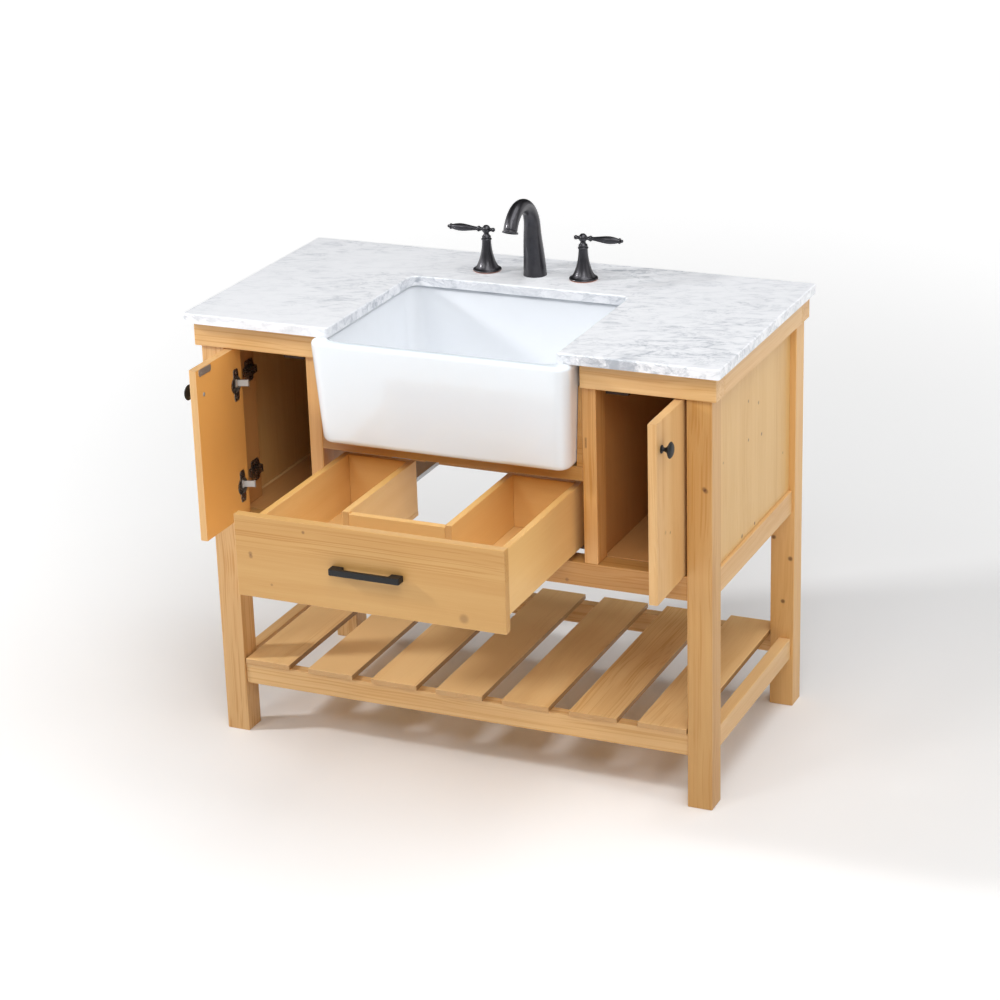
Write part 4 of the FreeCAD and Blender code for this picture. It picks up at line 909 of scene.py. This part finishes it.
def hinge_arms():
    """Goose-necks from an eye on the pin to the plate: a bright link, then a dark arm with its screws."""
    links = []
    arms = []
    eye = [EYE_BORE, EYE_RADIUS, EYE_RADIUS, EYE_BORE, EYE_BORE]
    eye_at = np.array([-1, -1, 1, 1, -1]) * ARM_HALF_WIDTH
    for height in HINGE_HEIGHTS:
        links.append(prism(strip_outline(ARM_PATH[:2]), height - LINK_HALF_WIDTH, height + LINK_HALF_WIDTH))
        links.append(turned(eye, eye_at, (PIN[0], PIN[1], height), UP, 24))
        arms.append(prism(strip_outline(ARM_PATH[1:]), height - ARM_HALF_WIDTH, height + ARM_HALF_WIDTH))
        arms += [screw((LEG_IN - 9.3, PLATE_FRONT + along, height), (-1, 0, 0), HINGE_SCREW)
                 for along in ARM_SCREWS]
    make("arm_links", links + mirrored(links), STEEL, "stand", ["hinge_arms"], bevel=0.4)
    make("arm_strips", arms + mirrored(arms), GUNMETAL, "stand", bevel=0.4)


def hinge_plates():
    """A block that carries the arm, on a plate with a screwed wing above and below."""
    shells = []
    front, back = PLATE_FRONT, PLATE_BACK
    lower = [(front + 2.0, -9.0, 2.0), (front + 8.0, -9.0, 2.0), (front + 10.0, -22.0, 5.0),
             (back - 4.0, -22.0, 5.0), (back - 2.0, -9.0, 2.0), (back, -9.0, 2.0)]
    upper = [(along, -rise, radius) for along, rise, radius in reversed(lower)]
    block = [(front, -BLOCK_HALF), (back, -BLOCK_HALF), (back, BLOCK_HALF), (front, BLOCK_HALF)]
    for height in HINGE_HEIGHTS:
        wings = filleted([(along, height + rise, radius) for along, rise, radius in lower + upper], 4)
        shells.append(prism(wings, LEG_IN - PLATE_SHEET, LEG_IN, across=(1, 2), up=0))
        seat = filleted([(along, height + rise, 1.5) for along, rise in block], 4)
        shells.append(prism(seat, LEG_IN - 7.0, LEG_IN - 1.0, across=(1, 2), up=0))
        middle = (front + back) / 2 + 3.0
        shells += [screw((LEG_IN - PLATE_SHEET, middle, height + end), (-1, 0, 0), PLATE_SCREW)
                   for end in (-PLATE_SCREW_REACH, PLATE_SCREW_REACH)]
    make("hinge_wings", shells + mirrored(shells), GUNMETAL, "stand", ["hinge_plates"],
         bevel=0.5)


# Drawer pull

PULL_FOOT = 23.0
PULL_BAR = 8.0
PULL_OUTER_CORNER = 4.0
PULL_INNER_CORNER = 3.0


def drawer_pull():
    """A U-shaped bar: one outline seen from above, carried up its height, with every edge rounded."""
    low, high = corners("drawer_pull")
    left, front = low[:2]
    right, back = high[:2]
    bar_back = front + PULL_BAR
    outline = [(left, back, 0.0), (left, front, PULL_OUTER_CORNER), (right, front, PULL_OUTER_CORNER),
               (right, back, 0.0), (right - PULL_FOOT, back, 0.0),
               (right - PULL_FOOT, bar_back, PULL_INNER_CORNER),
               (left + PULL_FOOT, bar_back, PULL_INNER_CORNER), (left + PULL_FOOT, back, 0.0)]
    make("pull_bar", [prism(filleted(outline), low[2], high[2])], BLACK, "drawer",
         ["drawer_pull"], bevel=1.6)


# Finishes of the solids that stay as they are

HONEY = (228, 186, 126)
AMBER = (216, 166, 101)
GOLD = (203, 156, 89)
TAN = (209, 162, 96)
WHEAT = (226, 178, 110)
STRAW = (215, 171, 112)
TOFFEE = (190, 141, 76)
SLAT = (246, 203, 138)
PANEL = (220, 178, 110)
DOOR = (222, 178, 118)
BOX = (232, 190, 122)
INSIDE = (196, 142, 80)
# The back panels are a darker copy of the inside boards: painted shade for the dark backs of the cupboards.
BACK_PAINTED_SHADE = (150, 104, 56)

# Each knot has its place and radius in metres, and its strength.
DRAWER_KNOTS = [(-0.1237, -0.6035, 0.6025, 0.0038, 0.6), (-0.2326, -0.6035, 0.548, 0.0048, 0.5),
                (-0.2318, -0.6035, 0.5425, 0.0048, 0.5), (0.1823, -0.6035, 0.4828, 0.011, 0.42),
                (-0.193, -0.6035, 0.493, 0.003, 0.45)]
PANEL_KNOTS = [(0.4995, -0.020, 0.7257, 0.004, 0.7), (0.4995, 0.0382, 0.704, 0.0045, 0.7),
               (0.4995, 0.0572, 0.636, 0.0045, 0.85), (0.4995, -0.0189, 0.6498, 0.0042, 0.7),
               (0.4995, 0.1866, 0.554, 0.0034, 0.6), (0.4995, -0.1594, 0.6535, 0.0034, 0.5),
               (0.4995, 0.019, 0.4705, 0.0045, 0.85), (0.4995, -0.0534, 0.4714, 0.0055, 0.8)]
BACK_LEG_KNOTS = [(0.5038, 0.2275, 0.3183, 0.006, 0.85), (0.4894, 0.2275, 0.2255, 0.0055, 0.85),
                  (0.4694, 0.2275, 0.3599, 0.0055, 0.85)]
LEG_KNOTS = [(0.4967, -0.2535, 0.6362, 0.0056, 0.6), (0.4997, -0.2535, 0.6328, 0.0056, 0.6)]
STILE_KNOTS = [(0.2707, -0.2515, 0.688 + 0.0028 * n, 0.0028, 0.42) for n in range(7)]
DOOR_KNOTS = [(0.4585, -0.3531, 0.5864, 0.0055, 0.35), (0.4585, -0.328, 0.577, 0.0042, 0.6)]
RAIL_KNOTS = [(0.2286, -0.2515, 0.4242, 0.0045, 0.55)]

# Each wood has its name, its grain's axis, its mean colour, its seed, other differences, and its solids.
WOODS = (
    ("pine_leg_front_right", "z", TAN, 1.3,
     dict(lines=0.3, contrast=0.8, dense=("x", 0.48, 0.2), knots=LEG_KNOTS), ["leg_front_right"]),
    ("pine_leg_back_right", "z", WHEAT, 4.1, dict(lines=0.15, contrast=0.7, knots=BACK_LEG_KNOTS),
     ["leg_back_right"]),
    ("pine_leg", "z", STRAW, 2.7, dict(lines=0.5, contrast=0.7, dense=("x", -0.48, 0.2), wander=0.07),
     ["leg_front_left", "leg_back_left"]),
    ("pine_stile", "z", AMBER, 6.2, dict(lines=0.4, knots=STILE_KNOTS), ["stile_left", "stile_right"]),
    ("pine_front", "x", HONEY, 3.4, dict(lines=0.5, dense=("x", 0.0, 2.0), ends=0.0, wander=0.03),
     ["frieze_front_left", "frieze_front_right", "shelf_rail_front", "shelf_rail_back", "frieze_back"]),
    ("pine_rail", "x", TOFFEE, 8.8, dict(lines=0.4, knots=RAIL_KNOTS),
     ["cabinet_rail_front", "cabinet_rail_back", "sink_rail", "sink_beam"]),
    ("pine_side", "y", HONEY, 5.5, dict(lines=0.3),
     ["frieze_left", "frieze_right", "cabinet_side_rails", "shelf_side_rails"]),
    ("pine_panel", "z", PANEL, 7.0,
     dict(lines=0.15, contrast=0.55, staves=("y", 0.118, -0.21), knots=PANEL_KNOTS),
     ["side_panel_left", "side_panel_right"]),
    ("pine_inside", "z", INSIDE, 9.6, dict(lines=0.0, contrast=0.4),
     ["partition_left", "partition_right", "hinge_battens"]),
    # The back panels carry painted shade, darker than the other inside boards.
    ("pine_back_painted_shade", "z", BACK_PAINTED_SHADE, 9.9, dict(lines=0.0, contrast=0.4), ["back_panels"]),
    ("pine_floor", "y", INSIDE, 9.1, dict(lines=0.0, contrast=0.5), ["floor_panels"]),
    ("pine_door_right", "z", DOOR, 11.3, dict(lines=0.3, contrast=0.8, knots=DOOR_KNOTS, inner=-1),
     ["right_door"]),
    ("pine_door_left", "z", DOOR, 11.9, dict(lines=0.3, contrast=0.8, inner=1), ["left_door"]),
    ("pine_drawer_front", "x", GOLD, 12.9,
     dict(lines=0.44, contrast=0.7, dense=("z", 0.588, 0.028), knots=DRAWER_KNOTS, ends=0.1, wander=0.014),
     ["drawer_front"]),
    # The tops of the drawer boards are painted darker, as painted shade.
    ("drawer_wood_side", "y", BOX, 14.2, dict(lines=0.0, contrast=0.4, painted_top_light=-0.5),
     ["drawer_sides", "drawer_dividers"]),
    ("drawer_wood_cross", "x", BOX, 15.7, dict(lines=0.0, contrast=0.4, painted_top_light=-0.5),
     ["drawer_cross", "drawer_backs"]),
    ("drawer_wood_bottom", "y", BOX, 16.4, dict(lines=0.0, contrast=0.4), ["drawer_bottom"]),
    # The slats' sides are painted darker, as painted shade, and their tops paler, as painted light.
    ("pine_slats", "y", SLAT, 17.8,
     dict(lines=0.45, contrast=1.2, staves=("x", 0.137, -0.4815), ends=0.7, painted_side_shade=0.6, painted_top_light=0.6),
     ["shelf_slats"]),
)


def dress(material, *names):
    """One finish on every named solid."""
    for name in names:
        NODES[name].data.materials.clear()
        NODES[name].data.materials.append(material)


# Stage, light and camera

WHITE = (1.0, 1.0, 1.0)
FLOOR_HALF = 30.0
FLOOR_WHITE = colour(246, 246, 246)
WORLD_STRENGTH = 0.03
LIT_PLACE = Vector((0.0, -0.1, 0.5))

# Each light has its name, place and size in metres, power in watts, and tint.
LIGHTS = (
    ("key", (-2.2, -4.4, 4.3), 1.6, 54.0, WHITE),
    ("graze", (-4.0, -1.9, 3.0), 0.5, 116.0, WHITE),
    ("side", (4.5, 0.0, 2.7), 3.0, 36.0, (1.0, 0.99, 0.97)),
    ("top", (1.3, 0.0, 4.4), 3.0, 84.0, (0.985, 0.99, 1.0)),
    ("front", (2.4, -3.8, 4.2), 2.4, 78.0, WHITE),
    ("high", (0.9, -2.4, 4.4), 2.0, 41.0, WHITE),
    ("left", (-4.2, 0.6, 1.3), 2.4, 32.0, WHITE),
    ("back", (3.0, 3.9, 1.9), 3.0, 26.0, WHITE),
)
CAMERA_PLACE = Vector((1.99787, -4.45531, 2.33692))
CAMERA_AZIMUTH = 24.317
CAMERA_ELEVATION = 21.021
CAMERA_ROLL = -1.742
FOCAL_PIXELS = 2686.97
PICTURE_PIXELS = 1000.0


def stage():
    """A plain pale floor that glows far off, a little light from the world, and soft lights all round."""
    half = FLOOR_HALF
    mesh = bpy.data.meshes.new("floor")
    spots = [(-half, -half, 0), (half, -half, 0), (half, half, 0), (-half, half, 0)]
    mesh.from_pydata(spots, [], [(0, 1, 2, 3)])
    finish = Finish("floor", base_color=FLOOR_WHITE, roughness=0.8, emission_strength=1.0)
    distance = finish.gap(finish.place(), (0.0, 0.0, 0.0))
    glow = distance.ease(0.6, 5.0) * 0.75 + distance.ease(4.0, 9.0) * 0.25
    finish.set(emission_color=finish.blend(glow, (0.0, 0.0, 0.0, 1.0), (*WHITE, 1.0)))
    mesh.materials.append(finish.material)
    floor = bpy.data.objects.new("floor", mesh)
    bpy.context.scene.collection.objects.link(floor)
    world = bpy.data.worlds.new("studio")
    world.use_nodes = True
    background = world.node_tree.nodes["Background"]
    background.inputs["Color"].default_value = (*WHITE, 1.0)
    background.inputs["Strength"].default_value = WORLD_STRENGTH
    bpy.context.scene.world = world
    for name, place, size, power, tint in LIGHTS:
        lamp = bpy.data.lights.new(name, "AREA")
        lamp.size = size
        lamp.energy = power
        lamp.color = tint
        thing = bpy.data.objects.new(name, lamp)
        thing.location = place
        thing.rotation_euler = (LIT_PLACE - Vector(place)).to_track_quat("-Z", "Y").to_euler()
        bpy.context.scene.collection.objects.link(thing)
    bpy.context.scene.view_settings.view_transform = "Standard"


def camera():
    """The picture's camera: it looks against its back vector, and is turned a little about it."""
    azimuth = math.radians(CAMERA_AZIMUTH)
    elevation = math.radians(CAMERA_ELEVATION)
    back = Vector((math.sin(azimuth) * math.cos(elevation), -math.cos(azimuth) * math.cos(elevation),
                   math.sin(elevation)))
    level = (-back).cross(Vector(UP)).normalized()
    right = Matrix.Rotation(math.radians(CAMERA_ROLL), 3, back) @ level
    up = back.cross(right)
    lens = bpy.data.cameras.new("camera")
    lens.sensor_width = 36.0
    lens.lens = lens.sensor_width * FOCAL_PIXELS / PICTURE_PIXELS
    thing = bpy.data.objects.new("camera", lens)
    turn = Matrix((right, up, back)).transposed()
    thing.matrix_world = Matrix.Translation(CAMERA_PLACE) @ turn.to_4x4()
    bpy.context.scene.collection.objects.link(thing)
    bpy.context.scene.camera = thing


dress(MARBLE, "marble_top")
dress(BRASS, "drain_tailpiece", "lock_nuts")
dress(ZINC, "slide_bases", "slide_middles", "slide_runners")
dress(CATCH, "magnet_catches")
for wood_name, wood_axis, wood_mean, wood_seed, wood_options, wood_pieces in WOODS:
    dress(pine(wood_name, wood_axis, wood_mean, wood_seed, **wood_options), *wood_pieces)
apron_sink()
drain()
spout()
for tap_side, tap_pivot in (("hot", HOT), ("cold", COLD)):
    valve(tap_side, tap_pivot)
    handle(tap_side, tap_pivot)
for door_side in ("left", "right"):
    knob(door_side)
    strike(door_side)
    hinge_cup(door_side)
hinge_arms()
hinge_plates()
drawer_pull()
stage()
camera()
